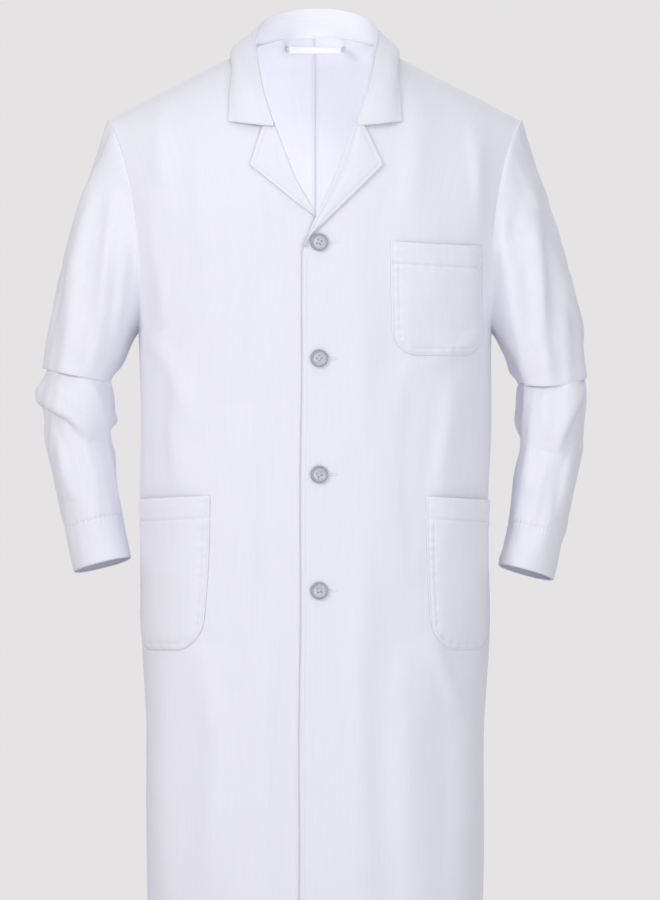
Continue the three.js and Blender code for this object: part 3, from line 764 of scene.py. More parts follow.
def collar_grid(stand=14, arc=9, leaf=36, bend=0.0019):
    """Rows round the neck; columns from the neck seam up over the fold and down to the edge."""
    outward = from_neck(collar_fold)
    columns = []
    inner = collar_fold - outward * bend - np.array([0, 0, bend])
    for t in np.linspace(0, 1, stand):
        hollow = -0.0022 * np.sin(np.pi * t)
        columns.append(mix(collar_seam, inner, t) - outward * hollow)
    for turn in np.linspace(0, np.pi, arc)[1:]:
        up = np.array([0, 0, bend * (np.sin(turn) - 1)])
        columns.append(collar_fold - outward * bend * np.cos(turn) + up)
    outer = columns[-1]
    span = np.linspace(-1, 1, len(collar_fold))
    for t in np.linspace(0, 1, leaf)[1:]:
        swell = 0.0066 * math.sin(math.pi * t) * (1 - 0.35 * np.abs(span) ** 8)
        edge_turn = rolled_edge(1 - t, 0.0010, 0.05)
        stitched = 0.00035 * math.exp(-(((1 - t) / 0.14 - 1) / 0.2) ** 2)
        ease = 0.0005 * np.sin(span * 21 + 1) * t
        push = swell - edge_turn - stitched + ease
        laid = mix(outer, collar_edge, t)
        columns.append(laid + from_neck(laid) * push[:, None])
    grid = np.stack(columns, 1)
    grid[..., 0] += 0.003 * smooth(0.0, 0.05, grid[..., 2])
    return grid


collar_points = collar_grid()
if normals_of(collar_points)[len(collar_points) // 2, -18, 1] < 0:
    collar_points = collar_points[::-1]
collar = cloth_piece("collar", collar_points, white_twill, thickness=COLLAR_LAYERS)
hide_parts("collar_leaf", "collar_stand")
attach(collar, "coat")

# ---- Sleeves ----------------------------------------------------------------------------------
# Long one-piece sleeves, set into the armholes and pressed without a crease. Each breaks at the
# elbow, where the upper part sags over the forearm, and ends in a deep hem at the wrist.

SLEEVE_OUTER = (
    [-0.386, -0.362, -0.337, -0.292, -0.246, -0.201, -0.156, -0.111, -0.078],
    [0.3080, 0.3075, 0.3030, 0.2940, 0.2835, 0.2745, 0.2620, 0.2500, 0.2340],
)
ELBOW_LINE = {1: (-0.3690, -0.3740, 0.0065), -1: (-0.3585, -0.3725, 0.0015)}
ELBOW_INNER = 0.2325
ELBOW_DEPTH, CUFF_DEPTH, UPPER_DEPTH = 0.128, 0.112, 0.150
SEAM_SET_IN = 0.0012
SLEEVE_POWER = 0.86
RING = 192


def tube_ring(outer, inner, depth, angles):
    """A ring between an outer and an inner point of the front view."""
    c, s = np.cos(angles), np.sin(angles)
    share = (1 + np.sign(c) * np.abs(c) ** SLEEVE_POWER) / 2
    y = (-depth / 2) * np.sign(s) * np.abs(s) ** SLEEVE_POWER
    x, z = mix(inner[0], outer[0], share), mix(inner[1], outer[1], share)
    return np.stack([x, y, z], -1)


def upper_sleeve_grid(side, rows=130):
    """Rings from the armhole seam down to the sag over the elbow."""
    angles = np.linspace(0, 2 * np.pi, RING, endpoint=False)
    z = mix(UNDERARM, TIP, (1 + np.cos(angles)) / 2)
    x = armhole_x(z)
    y = np.where(np.sin(angles) >= 0, front_y(x, z), back_y(x, z))
    seam = np.stack([x - SEAM_SET_IN, y, z], -1)
    outer_end, inner_end, sag = ELBOW_LINE[side]
    result = []
    for t in np.linspace(0, 1, rows):
        level = mix(TIP, outer_end, t)
        outer = (float(np.interp(level, *SLEEVE_OUTER)), level)
        inner = (mix(CHEST + 0.0006, ELBOW_INNER, t**1.1), mix(UNDERARM, inner_end, t**0.9))
        tube = tube_ring(outer, inner, mix(UPPER_DEPTH, ELBOW_DEPTH, t), angles)
        tube[:, 2] -= sag * np.sin(angles) ** 2 * t**6
        result.append(mix(seam, tube, smooth(0, 0.55, t)))
    return np.array(result)


UPPER_FOLDS = {
    1: [
        ([(0.222, -0.215), (0.230, -0.30), (0.242, -0.385)], 0.010, 0.0074, 0.2),
        ([(0.246, -0.13), (0.254, -0.25), (0.262, -0.392)], 0.011, 0.0066, -0.3),
        ([(0.262, -0.11), (0.282, -0.23), (0.292, -0.385)], 0.010, 0.0056, 0.3),
        ([(0.284, -0.25), (0.298, -0.31), (0.304, -0.385)], 0.006, 0.0044, 0.2),
        ([(0.212, -0.17), (0.215, -0.24), (0.222, -0.33)], 0.008, 0.0040, 0.0),
    ],
    -1: [
        ([(0.250, -0.12), (0.272, -0.24), (0.284, -0.375)], 0.011, 0.0070, 0.3),
        ([(0.228, -0.16), (0.238, -0.26), (0.250, -0.370)], 0.011, 0.0066, -0.3),
        ([(0.276, -0.19), (0.296, -0.27), (0.305, -0.37)], 0.007, 0.0050, 0.2),
        ([(0.212, -0.20), (0.219, -0.28), (0.230, -0.36)], 0.007, 0.0044, 0.0),
        ([(0.262, -0.30), (0.266, -0.335), (0.268, -0.37)], 0.007, 0.0030, 0.0),
    ],
}
LOWER_FOLDS = {
    1: [
        ([(0.306, -0.370), (0.293, -0.400), (0.280, -0.428), (0.270, -0.455)], 0.0120, 0.0078, -0.75),
        ([(0.268, -0.372), (0.262, -0.400), (0.264, -0.440)], 0.0090, 0.0036, 0.0),
        ([(0.246, -0.385), (0.244, -0.440), (0.236, -0.500)], 0.0070, 0.0030, 0.0),
        ([(0.300, -0.440), (0.285, -0.478), (0.279, -0.530)], 0.0080, 0.0046, 0.5),
        ([(0.262, -0.455), (0.250, -0.495), (0.252, -0.540)], 0.0090, 0.0032, 0.0),
    ],
    -1: [
        ([(0.322, -0.386), (0.300, -0.401), (0.277, -0.413), (0.250, -0.440)], 0.0110, 0.0092, -0.80),
        ([(0.322, -0.350), (0.322, -0.402)], 0.0100, 0.0120, 0.0),
        ([(0.264, -0.362), (0.251, -0.386), (0.243, -0.408), (0.238, -0.440)], 0.0090, 0.0052, 0.70),
        ([(0.300, -0.372), (0.276, -0.392), (0.246, -0.420)], 0.0060, 0.0030, 0.3),
        ([(0.306, -0.420), (0.290, -0.455), (0.276, -0.510)], 0.0090, 0.0054, 0.4),
        ([(0.262, -0.440), (0.248, -0.480), (0.244, -0.530)], 0.0090, 0.0036, 0.0),
    ],
}


BACK_MIRROR, BACK_SHIFT = 0.525, -0.012


def sleeve_lift(points, folds, seed, fade):
    """Folds on the front of a sleeve, others on its back, and soft unevenness all round."""
    x, y, z = points[..., 0], points[..., 1], points[..., 2]
    front = smooth(0.012, -0.012, y)
    lift = np.zeros_like(x)
    for path, width, height, lean in folds:
        lift = lift + front * fold(x, z, path, width, height, lean)
        moved = [(BACK_MIRROR - a, b + BACK_SHIFT) for a, b in path]
        lift = lift + (1 - front) * fold(x, z, moved, width * 1.2, height, -lean)
    around = np.arctan2(y, x - x.mean(axis=1, keepdims=True))
    lift += 0.0022 * cloth_noise(4 * np.cos(around) + 9, z / 0.06 + 2 * np.sin(around) + 11, seed)
    lift += 0.0007 * cloth_noise(x / 0.012 + 40, z / 0.022 + y / 0.02 + 30, seed + 1)
    return (lift - 0.0018) * fade


def grid_faces_in(grid):
    row = grid[len(grid) // 2]
    return normals_of(grid, True)[len(grid) // 2, 0] @ (row[0] - row.mean(0)) < 0


def upper_sleeve_shape(side):
    """The upper sleeve with its full head, its folds, and its lower edge turned under."""
    grid = upper_sleeve_grid(side)
    t = np.linspace(0, 1, len(grid))[:, None] + np.zeros(RING)
    lift = sleeve_lift(grid, UPPER_FOLDS[side], 31 + side, smooth(0.02, 0.22, t))
    lift += 0.0026 * smooth(0.015, 0.06, t) * smooth(0.35, 0.08, t) - 0.0014 * smooth(0.03, 0.0, t)
    lift += 0.0010 * smooth(0.93, 1.0, t)
    if grid_faces_in(grid):
        lift = -lift
    return ring_out(roll_under(pulled(grid, lift, ring=True)), side)


def ring_out(points, side):
    """A ring grid mirrored to its side, its rows in the order that faces it outwards."""
    points = points * np.array([side, 1, 1])
    return points[::-1] if grid_faces_in(points) else points


def roll_under(grid, radius=0.0016, steps=8):
    """Adds rows that turn the lower edge under and up inside, as the sag over the elbow does."""
    edge = grid[-1]
    inward = edge.mean(0) - edge
    inward[:, 2] = 0
    inward /= np.linalg.norm(inward, axis=1, keepdims=True)
    rows = [grid]
    for turn in np.linspace(0, 2.6, steps + 1)[1:]:
        shift = inward * radius * (1 - math.cos(turn)) - np.array([0, 0, radius * math.sin(turn)])
        rows.append((edge + shift)[None])
    return np.concatenate(rows)


LOWER_OUTER = (
    [-0.600, -0.585, -0.540, -0.495, -0.450, -0.427, -0.405, -0.386, -0.372, -0.345],
    [0.2690, 0.2735, 0.2860, 0.2940, 0.3035, 0.3065, 0.3100, 0.3120, 0.3100, 0.3010],
)
LOWER_INNER = (
    [-0.600, -0.570, -0.540, -0.495, -0.450, -0.405, -0.382, -0.345],
    [0.2060, 0.2090, 0.2160, 0.2230, 0.2310, 0.2330, 0.2305, 0.2300],
)
CUFF_FRONT = {1: (-0.5960, -0.5790), -1: (-0.5870, -0.5710)}
CUFF_DROOP = 0.0075
CUFF_HEM = 0.050


def lower_sleeve_grid(side, top=-0.345, rows=160):
    """The forearm: it starts up inside the upper sleeve and ends at the tilted cuff."""
    angles = np.linspace(0, 2 * np.pi, RING, endpoint=False)
    outer_end, inner_end = CUFF_FRONT[side]
    result = []
    for t in np.linspace(0, 1, rows):
        outer_z, inner_z = mix(top, outer_end, t), mix(top, inner_end, t)
        outer = (float(np.interp(outer_z, *LOWER_OUTER)), outer_z)
        inner = (float(np.interp(inner_z, *LOWER_INNER)), inner_z)
        depth = mix(ELBOW_DEPTH - 0.004, CUFF_DEPTH, t)
        ring = tube_ring(outer, inner, depth, angles)
        ring[:, 2] -= CUFF_DROOP * t**2 * (ring[:, 1] / CUFF_DEPTH + 0.5)
        result.append(ring)
    return np.array(result)


def from_cuff(grid):
    """Distance of each point of a sleeve grid up from the cuff's edge."""
    steps = np.linalg.norm(np.diff(grid, axis=0), axis=2)
    return np.concatenate([np.cumsum(steps[::-1], 0)[::-1], np.zeros((1, grid.shape[1]))])


def lower_sleeve_lift(side, grid):
    """Folds of the forearm, which fade out at the cuff's hem with its stitched line."""
    up = from_cuff(grid)
    z = grid[..., 2]
    fade = smooth(-0.350, -0.385, z) * smooth(0.0, 0.05, up)
    lift = sleeve_lift(grid, LOWER_FOLDS[side], 35 + side, fade)
    lift -= 0.0018 * smooth(-0.384, -0.368, z)
    angle = np.linspace(0, 2 * np.pi, RING, endpoint=False)
    pucker = np.sin(angle * 46 + 2 * np.sin(5 * angle))
    pucker = pucker * np.exp(-(((up - CUFF_HEM) / 0.007) ** 2))
    lift += 0.00055 * pucker + groove(up - CUFF_HEM, 0.0016, 0.0008)
    lift += 0.0012 * cloth_noise(angle * 1.6 + z * 0, up / 0.05 + 3, 44 + side)
    return lift - rolled_edge(up, 0.0007, 0.0015)


def lower_sleeve_points(side, out=0.0):
    """The forearm's cloth on the wearer's left, moved that far out."""
    grid = lower_sleeve_grid(side)
    lift = lower_sleeve_lift(side, grid) + out
    return pulled(grid, -lift if grid_faces_in(grid) else lift, ring=True)


CUFF_HEM_INSIDE = 0.0016
CUFF_HEM_ROWS = 36

for side, name in ((1, "left"), (-1, "right")):
    shape = upper_sleeve_shape(side)
    upper = cloth_piece(f"{name}_sleeve_top", shape, white_twill, ring=True)
    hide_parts(f"{name}_upper_sleeve")
    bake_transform(upper)

    shape = ring_out(lower_sleeve_points(side), side)
    lower = cloth_piece(f"{name}_sleeve_end", shape, white_twill, ring=True)
    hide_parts(f"{name}_lower_sleeve")
    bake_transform(lower)

    # The cuff's turned hem inside the sleeve wears the twill with painted shade.
    shape = ring_out(lower_sleeve_points(side, -CUFF_HEM_INSIDE)[-CUFF_HEM_ROWS:], side)
    hem = cloth_piece(f"{name}_cuff_hem", shape, painted_shade_twill, 0.0007, ring=True)
    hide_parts(f"{name}_cuff_facing")
    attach(hem, f"{name}_forearm")

# ---- Pockets ----------------------------------------------------------------------------------
# Three patch pockets of the body cloth: one on the left breast and one at each hip. Each has a
# deep turned band at its mouth, round lower corners, and is topstitched down on three sides.

PATCHES = {
    "chest_pocket": dict(
        side=1, inner=0.0845, outer=0.1885, top=-0.2165, bottom=-0.3455, corner=0.029,
        slant=(0.000, -0.0045), taper=0.0025, mouth=0.0022, band=0.025,
    ),
    "left_lower_pocket": dict(
        side=1, inner=0.1245, outer=0.1940, top=-0.5040, bottom=-0.6780, corner=0.036,
        slant=(0.000, -0.0040), taper=0.0080, mouth=0.0048, band=0.025,
    ),
    "right_lower_pocket": dict(
        side=-1, inner=0.1170, outer=0.1950, top=-0.5030, bottom=-0.6780, corner=0.036,
        slant=(0.000, -0.0040), taper=0.0100, mouth=0.0052, band=0.025,
    ),
}
PATCH_CLOTH = 0.0008
PATCH_STITCH, SECOND_STITCH = 0.0022, 0.0078


def patch_outline(patch, u, v):
    """Own x and z at (u across from the inner edge, v down from the mouth)."""
    body = float(half_width(patch["top"]))
    turn = np.arcsin((np.array([patch["inner"], patch["outer"]]) / body) ** (SQUARENESS / 2))
    x = body * np.sin(mix(turn[0], turn[1], u)) ** (2 / SQUARENESS)
    y = front_y(x[0], np.full_like(x[0], patch["top"]))
    arc = np.concatenate([[0], np.cumsum(np.hypot(np.diff(x[0]), np.diff(y)))])
    near = np.minimum(arc, arc[-1] - arc)
    short = np.clip(patch["corner"] - near, 0, patch["corner"])
    foot = patch["bottom"] + patch["corner"] - np.sqrt(patch["corner"] ** 2 - short**2)
    top = patch["top"] + mix(*patch["slant"], u[0]) - 0.0012 * np.sin(np.pi * u[0])
    z = mix(top, foot, v)
    down = np.clip((z - patch["top"]) / (patch["bottom"] - patch["top"]), 0, 1)
    x = x + patch["taper"] * (1 - u) ** 2 * down**2
    return x, z, arc[-1]


def patch_grid(patch, rows=104, columns=92):
    """The patch over its front's cloth, a little proud of it, its mouth slightly open."""
    u, v = np.meshgrid(np.linspace(0, 1, columns), np.linspace(0, 1, rows))
    x, z, width = patch_outline(patch, u, v)
    length = patch["top"] - patch["bottom"]
    from_side = np.minimum(u, 1 - u) * width
    from_foot = z - z[-1]
    edge = np.minimum(from_side, from_foot)
    down = z[0] - z
    below_band = down - patch["band"]
    seated = smooth(0.0, 0.020, edge)
    open_mouth = patch["mouth"] * np.exp(-((down / 0.035) ** 2)) * np.sin(np.pi * u) ** 0.7
    out = 0.0018 + (0.0018 * seated + open_mouth) * smooth(0, 0.004, edge)
    out += groove(edge - PATCH_STITCH, 0.0011, 0.0009) * smooth(0.0, 0.001, down)
    out += groove(edge - SECOND_STITCH, 0.0011, 0.0007) * smooth(0, 0.001, below_band)
    out += groove(below_band, 0.0012, 0.0011)
    run = np.where(from_side < from_foot, z, x)
    wrinkle = np.sin(run / 0.0019 + 2.4 * np.sin(run / 0.013)) + 0.6 * np.sin(run / 0.0041)
    out += 0.00035 * wrinkle * np.exp(-(((edge - 0.006) / 0.006) ** 2)) * smooth(0, 0.003, edge)
    ripple = np.sin(x / 0.0024 + 2 * np.sin(x / 0.017))
    out += 0.00030 * ripple * np.exp(-((below_band / 0.006) ** 2))
    seed = int(1000 * length)
    out += 0.0011 * cloth_noise(x / 0.030 + 3, z / 0.050 + 8, seed) * seated
    out -= rolled_edge(np.minimum(edge, down), 0.0009, 0.0012)
    return front_point(patch["side"], patch["side"] * x, z, np.maximum(out, 0.0004))[0]


patch_grids = {name: patch_grid(patch) for name, patch in PATCHES.items()}
for name, points in patch_grids.items():
    pocket = cloth_piece(f"{name}_patch", facing(points, (0, -1, 0)), white_twill, PATCH_CLOTH)
    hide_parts(name)
    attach(pocket, "coat")

# ---- Buttons ----------------------------------------------------------------------------------
# Four grey, slightly clear four-hole coat buttons of moulded polyester, 20 mm across, with a
# raised rim and a dished middle, each sewn on with crossed white thread on a short shank.

BUTTON_LINE = 0.005
BUTTON_LEVELS = [sum(corner.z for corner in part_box(f"button_{n}")) / 2 for n in (1, 2, 3, 4)]
BUTTON_RADIUS = 0.010
BUTTON_OUTLINE = [
    (0.0, 0), (0.0070, 0), (0.0086, 0.0005), (0.0096, 0.0012), (BUTTON_RADIUS, 0.0020),
    (0.00985, 0.0027), (0.0094, 0.0031), (0.0088, 0.0033), (0.0081, 0.00325), (0.0075, 0.0029),
    (0.0070, 0.0024), (0.0062, 0.0020), (0.0040, 0.0018), (0.0, 0.00175),
]
BUTTON_TURN = 0.35
HOLE_SPREAD, HOLE_RADIUS = 0.0019, 0.00095
DRILL_FROM, DRILL_TO = -0.004, 0.006
STRAND_RADIUS, WINDING_RADIUS, SHANK_RADIUS = 0.00026, 0.00034, 0.0010

button_plastic = bpy.data.materials.new("button_plastic")
button_plastic.use_nodes = True
tree = button_plastic.node_tree
shader = tree.nodes["Principled BSDF"]
shader.inputs["Roughness"].default_value = 0.28
shader.inputs["Subsurface Weight"].default_value = 0.25
shader.inputs["Subsurface Radius"].default_value = (0.002, 0.002, 0.002)
shader.inputs["Coat Weight"].default_value = 0.3
spot = add_node(tree, "ShaderNodeAttribute", attribute_name="from_middle")
tone = add_node(tree, "ShaderNodeValToRGB")
tone.color_ramp.elements[0].position, tone.color_ramp.elements[0].color = 0.0, (0.60, 0.60, 0.68, 1)
tone.color_ramp.elements[1].position, tone.color_ramp.elements[1].color = 1.0, (0.36, 0.36, 0.42, 1)
middle = tone.color_ramp.elements.new(0.66)
middle.color = (0.56, 0.56, 0.64, 1)
ring_edge = tone.color_ramp.elements.new(0.78)
ring_edge.color = (0.40, 0.40, 0.46, 1)
tree.links.new(spot.outputs["Fac"], tone.inputs["Fac"])
place = add_node(tree, "ShaderNodeTexCoord")
cloud = add_node(tree, "ShaderNodeTexNoise", Scale=260.0, Detail=3.0)
tree.links.new(place.outputs["Object"], cloud.inputs["Vector"])
marble = add_node(tree, "ShaderNodeMix", data_type="RGBA", blend_type="SOFT_LIGHT")
marble.inputs["Factor"].default_value = 0.35
tree.links.new(tone.outputs["Color"], marble.inputs[6])
tree.links.new(cloud.outputs["Fac"], marble.inputs[7])
tree.links.new(marble.outputs[2], shader.inputs["Base Color"])

thread_cotton = bpy.data.materials.new("thread_cotton")
thread_cotton.use_nodes = True
tree = thread_cotton.node_tree
shader = tree.nodes["Principled BSDF"]
shader.inputs["Roughness"].default_value = 0.6
place = add_node(tree, "ShaderNodeTexCoord")
strand = add_node(tree, "ShaderNodeTexNoise", Scale=1800.0, Detail=2.0)
tree.links.new(place.outputs["Object"], strand.inputs["Vector"])
tone = add_node(tree, "ShaderNodeValToRGB")
tone.color_ramp.elements[0].color = (0.70, 0.70, 0.76, 1)
tone.color_ramp.elements[1].color = (0.88, 0.88, 0.93, 1)
tree.links.new(strand.outputs["Fac"], tone.inputs["Fac"])
tree.links.new(tone.outputs["Color"], shader.inputs["Base Color"])


def turned_disc(name, outline, segments=96):
    """A closed turned body: (radius, height) pairs round the Y axis, height toward -Y."""
    angles = np.linspace(0, 2 * np.pi, segments, endpoint=False)
    points = [(r * math.cos(a), -h, r * math.sin(a)) for r, h in outline[1:-1] for a in angles]
    back, front = len(points), len(points) + 1
    points += [(0, -outline[0][1], 0), (0, -outline[-1][1], 0)]
    faces = []
    rings = len(outline) - 2
    for i in range(rings - 1):
        for j in range(segments):
            k = (j + 1) % segments
            low, high = i * segments, (i + 1) * segments
            faces.append((low + j, low + k, high + k, high + j))
    for j in range(segments):
        k = (j + 1) % segments
        faces.append((back, k, j))
        faces.append((front, (rings - 1) * segments + j, (rings - 1) * segments + k))
    mesh = bpy.data.meshes.new(name)
    mesh.from_pydata(points, [], faces)
    body = bpy.data.objects.new(name, mesh)
    bpy.context.scene.collection.objects.link(body)
    return body


def applied(piece, name):
    """The piece as it looks with its modifiers, as a new plain mesh object."""
    graph = bpy.context.evaluated_depsgraph_get()
    graph.update()
    mesh = bpy.data.meshes.new_from_object(piece.evaluated_get(graph))
    mesh.name = name
    result = bpy.data.objects.new(name, mesh)
    bpy.context.scene.collection.objects.link(result)
    return result


def remove(*pieces):
    for piece in pieces:
        bpy.data.objects.remove(piece, do_unlink=True)


def button_blank():
    """The drilled button, its back at the origin, facing -Y."""
    disc = turned_disc("disc", BUTTON_OUTLINE)
    drill_outline = [(0, DRILL_FROM), (HOLE_RADIUS, DRILL_FROM), (HOLE_RADIUS, DRILL_TO), (0, DRILL_TO)]
    drills = []
    for a, b in ((1, 1), (1, -1), (-1, 1), (-1, -1)):
        drill = turned_disc("drill", drill_outline, 20)
        drill.data.transform(Matrix.Translation((a * HOLE_SPREAD, 0, b * HOLE_SPREAD)))
        bore = disc.modifiers.new("hole", "BOOLEAN")
        bore.operation, bore.object, bore.solver = "DIFFERENCE", drill, "EXACT"
        drills.append(drill)
    blank = applied(disc, "button_blank")
    remove(disc, *drills)
    mesh = blank.data
    place = np.empty(len(mesh.vertices) * 3)
    mesh.vertices.foreach_get("co", place)
    place = place.reshape(-1, 3)
    share = np.hypot(place[:, 0], place[:, 2]) / BUTTON_RADIUS
    shade = mesh.attributes.new("from_middle", "FLOAT", "POINT")
    shade.data.foreach_set("value", share.astype(np.float32))
    mesh.shade_smooth()
    mesh.set_sharp_from_angle(angle=math.radians(38))
    return blank


def tube(path, radius, sides=8):
    """Points and faces of a closed tube along a path."""
    path = np.asarray(path, float)
    along = np.gradient(path, axis=0)
    along /= np.linalg.norm(along, axis=1, keepdims=True)
    helper = np.array([0.3, 0.9, 0.31])
    first = np.cross(along, helper)
    first /= np.linalg.norm(first, axis=1, keepdims=True)
    second = np.cross(along, first)
    turn = np.linspace(0, 2 * np.pi, sides, endpoint=False)
    ring = first[:, None] * np.cos(turn)[None, :, None] + second[:, None] * np.sin(turn)[None, :, None]
    points = (path[:, None] + radius * ring).reshape(-1, 3)
    faces = []
    for i in range(len(path) - 1):
        for j in range(sides):
            k = (j + 1) % sides
            near, far = i * sides, (i + 1) * sides
            faces.append((near + j, near + k, far + k, far + j))
    faces.append(tuple(range(sides - 1, -1, -1)))
    faces.append(tuple((len(path) - 1) * sides + j for j in range(sides)))
    return points, faces


def joined(name, parts, material):
    """One mesh object from several (points, faces) pairs."""
    points, faces, count = [], [], 0
    for part_points, part_faces in parts:
        points.extend(np.asarray(part_points).tolist())
        faces.extend(tuple(count + k for k in face) for face in part_faces)
        count += len(part_points)
    mesh = bpy.data.meshes.new(name)
    mesh.from_pydata(points, [], faces)
    mesh.materials.append(material)
    mesh.shade_smooth()
    piece = bpy.data.objects.new(name, mesh)
    bpy.context.scene.collection.objects.link(piece)
    return piece


def button_thread(seat):
    """Crossed strands over the holes and a wound shank back to the cloth it is sewn to."""
    parts = []
    for turned in (1, -1):
        for beside in (-0.00028, 0.00028):
            t = np.linspace(-1, 1, 13)
            across = HOLE_SPREAD * t
            height = -0.00185 - 0.00062 * (1 - t**4)
            if turned > 0:
                height = height - 0.00035 * (1 - t**2)
            path = np.stack([across + beside, height, turned * across - turned * beside], -1)
            path = np.vstack([path[0] + [0, 0.0022, 0], path, path[-1] + [0, 0.0022, 0]])
            parts.append(tube(path, STRAND_RADIUS))
    turn = np.linspace(0, 2 * np.pi * 5, 90)
    length = seat - 0.0002
    wound = mix(0.0001, length, turn / turn[-1])
    coil = np.stack([SHANK_RADIUS * np.cos(turn), wound, SHANK_RADIUS * np.sin(turn)], -1)
    parts.append(tube(coil, WINDING_RADIUS))
    parts.append(tube([[0, 0.0001, 0], [0, length / 2, 0], [0, length, 0]], SHANK_RADIUS, 12))
    return parts


blank = button_blank()
for n, level in enumerate(BUTTON_LEVELS, 1):
    x, z = np.array([BUTTON_LINE]), np.array([level])
    seat = front_point(1, x, z, 0.0005)[0][0]
    under = front_point(-1, x, z)[0][0]
    placed = Matrix.Translation(seat) @ Matrix.Rotation(BUTTON_TURN * n, 4, "Y")
    button = bpy.data.objects.new(f"coat_button_{n}", blank.data.copy())
    bpy.context.scene.collection.objects.link(button)
    button.data.transform(placed)
    button.data.materials.append(button_plastic)
    shank = joined(f"button_sewing_{n}", button_thread(float(under[1] - seat[1])), thread_cotton)
    shank.data.transform(placed)
    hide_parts(f"button_{n}")
    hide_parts(f"button_thread_{n}")
    for piece in (button, shank):
        if n == 1:
            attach(piece, "coat")
        else:
            swing(piece, "right")
remove(blank)

# ---- Topstitching -----------------------------------------------------------------------------
# Lockstitch in white cotton-wrapped thread, about nine stitches to an inch: along the front
# edges, lapels, collar, pockets, hems and cuffs. Every stitch sinks a little into the cloth.


def on_grid(points, i, j, toward, out=0.0):
    """Points on a cloth grid at fractional rows and columns, and their normals."""
    rows, columns = points.shape[:2]
    i, j = np.clip(i, 0, rows - 1.001), np.clip(j, 0, columns - 1.001)
    a, b = i.astype(int), j.astype(int)
    fi, fj = (i - a)[:, None], (j - b)[:, None]

    def sample(grid):
        return mix(mix(grid[a, b], grid[a, b + 1], fj), mix(grid[a + 1, b], grid[a + 1, b + 1], fj), fi)

    normal = sample(normals_of(points))
    normal /= np.linalg.norm(normal, axis=1, keepdims=True)
    against = (normal * np.asarray(toward(sample(points)) if callable(toward) else toward)).sum(1) < 0
    normal[against] *= -1
    return sample(points) + normal * out, normal


def at_distance(points, wanted, from_end=False):
    """Fractional column in each row that lies that far along it from its start or end."""
    lengths = np.linalg.norm(np.diff(points, axis=1), axis=2)
    run = np.concatenate([np.zeros((len(points), 1)), np.cumsum(lengths, axis=1)], axis=1)
    columns = np.arange(points.shape[1])
    if from_end:
        return np.array([np.interp(row[-1] - wanted, row, columns) for row in run])
    return np.array([np.interp(wanted, row, columns) for row in run])


STITCH_SIZES = {"Pitch": 0.0028, "Stitch": 0.0023, "Thread": 0.0005}


def stitch_tree():
    """Geometry Nodes: lays stitches end to end along every edge chain of a mesh."""
    tree = bpy.data.node_groups.new("topstitch", "GeometryNodeTree")
    group_socket(tree, "Geometry", "NodeSocketGeometry")
    for name, size in STITCH_SIZES.items():
        group_socket(tree, name, "NodeSocketFloat", size)
    group_socket(tree, "Material", "NodeSocketMaterial")
    group_socket(tree, "Geometry", "NodeSocketGeometry", out=True)
    link = tree.links.new
    inside = tree.nodes.new("NodeGroupInput")
    outside = tree.nodes.new("NodeGroupOutput")
    line = tree.nodes.new("GeometryNodeMeshToCurve")
    link(inside.outputs["Geometry"], line.inputs["Mesh"])
    even = tree.nodes.new("GeometryNodeResampleCurve")
    even.mode = "LENGTH"
    link(line.outputs["Curve"], even.inputs["Curve"])
    link(inside.outputs["Pitch"], even.inputs["Length"])
    grain = add_node(tree, "GeometryNodeMeshUVSphere", Segments=6, Rings=4, Radius=1.0)
    size = tree.nodes.new("ShaderNodeCombineXYZ")
    link(inside.outputs["Stitch"], size.inputs["X"])
    link(inside.outputs["Thread"], size.inputs["Y"])
    link(inside.outputs["Thread"], size.inputs["Z"])
    half = add_node(tree, "ShaderNodeVectorMath", operation="SCALE", Scale=0.5)
    link(size.outputs["Vector"], half.inputs[0])
    shaped = tree.nodes.new("GeometryNodeTransform")
    link(grain.outputs["Mesh"], shaped.inputs["Geometry"])
    link(half.outputs["Vector"], shaped.inputs["Scale"])
    tangent = tree.nodes.new("GeometryNodeInputTangent")
    run = add_node(tree, "FunctionNodeAlignRotationToVector", axis="X")
    link(tangent.outputs["Tangent"], run.inputs["Vector"])
    away = add_node(tree, "GeometryNodeInputNamedAttribute", data_type="FLOAT_VECTOR")
    away.inputs["Name"].default_value = "out_of_cloth"
    lean = add_node(tree, "FunctionNodeAlignRotationToVector", axis="Z", pivot_axis="X")
    link(run.outputs["Rotation"], lean.inputs["Rotation"])
    link(away.outputs["Attribute"], lean.inputs["Vector"])
    laid = tree.nodes.new("GeometryNodeInstanceOnPoints")
    link(even.outputs["Curve"], laid.inputs["Points"])
    link(shaped.outputs["Geometry"], laid.inputs["Instance"])
    link(lean.outputs["Rotation"], laid.inputs["Rotation"])
    real = tree.nodes.new("GeometryNodeRealizeInstances")
    link(laid.outputs["Instances"], real.inputs["Geometry"])
    painted = tree.nodes.new("GeometryNodeSetMaterial")
    link(real.outputs["Geometry"], painted.inputs["Geometry"])
    link(inside.outputs["Material"], painted.inputs["Material"])
    link(painted.outputs["Geometry"], outside.inputs["Geometry"])
    return tree


topstitch = stitch_tree()


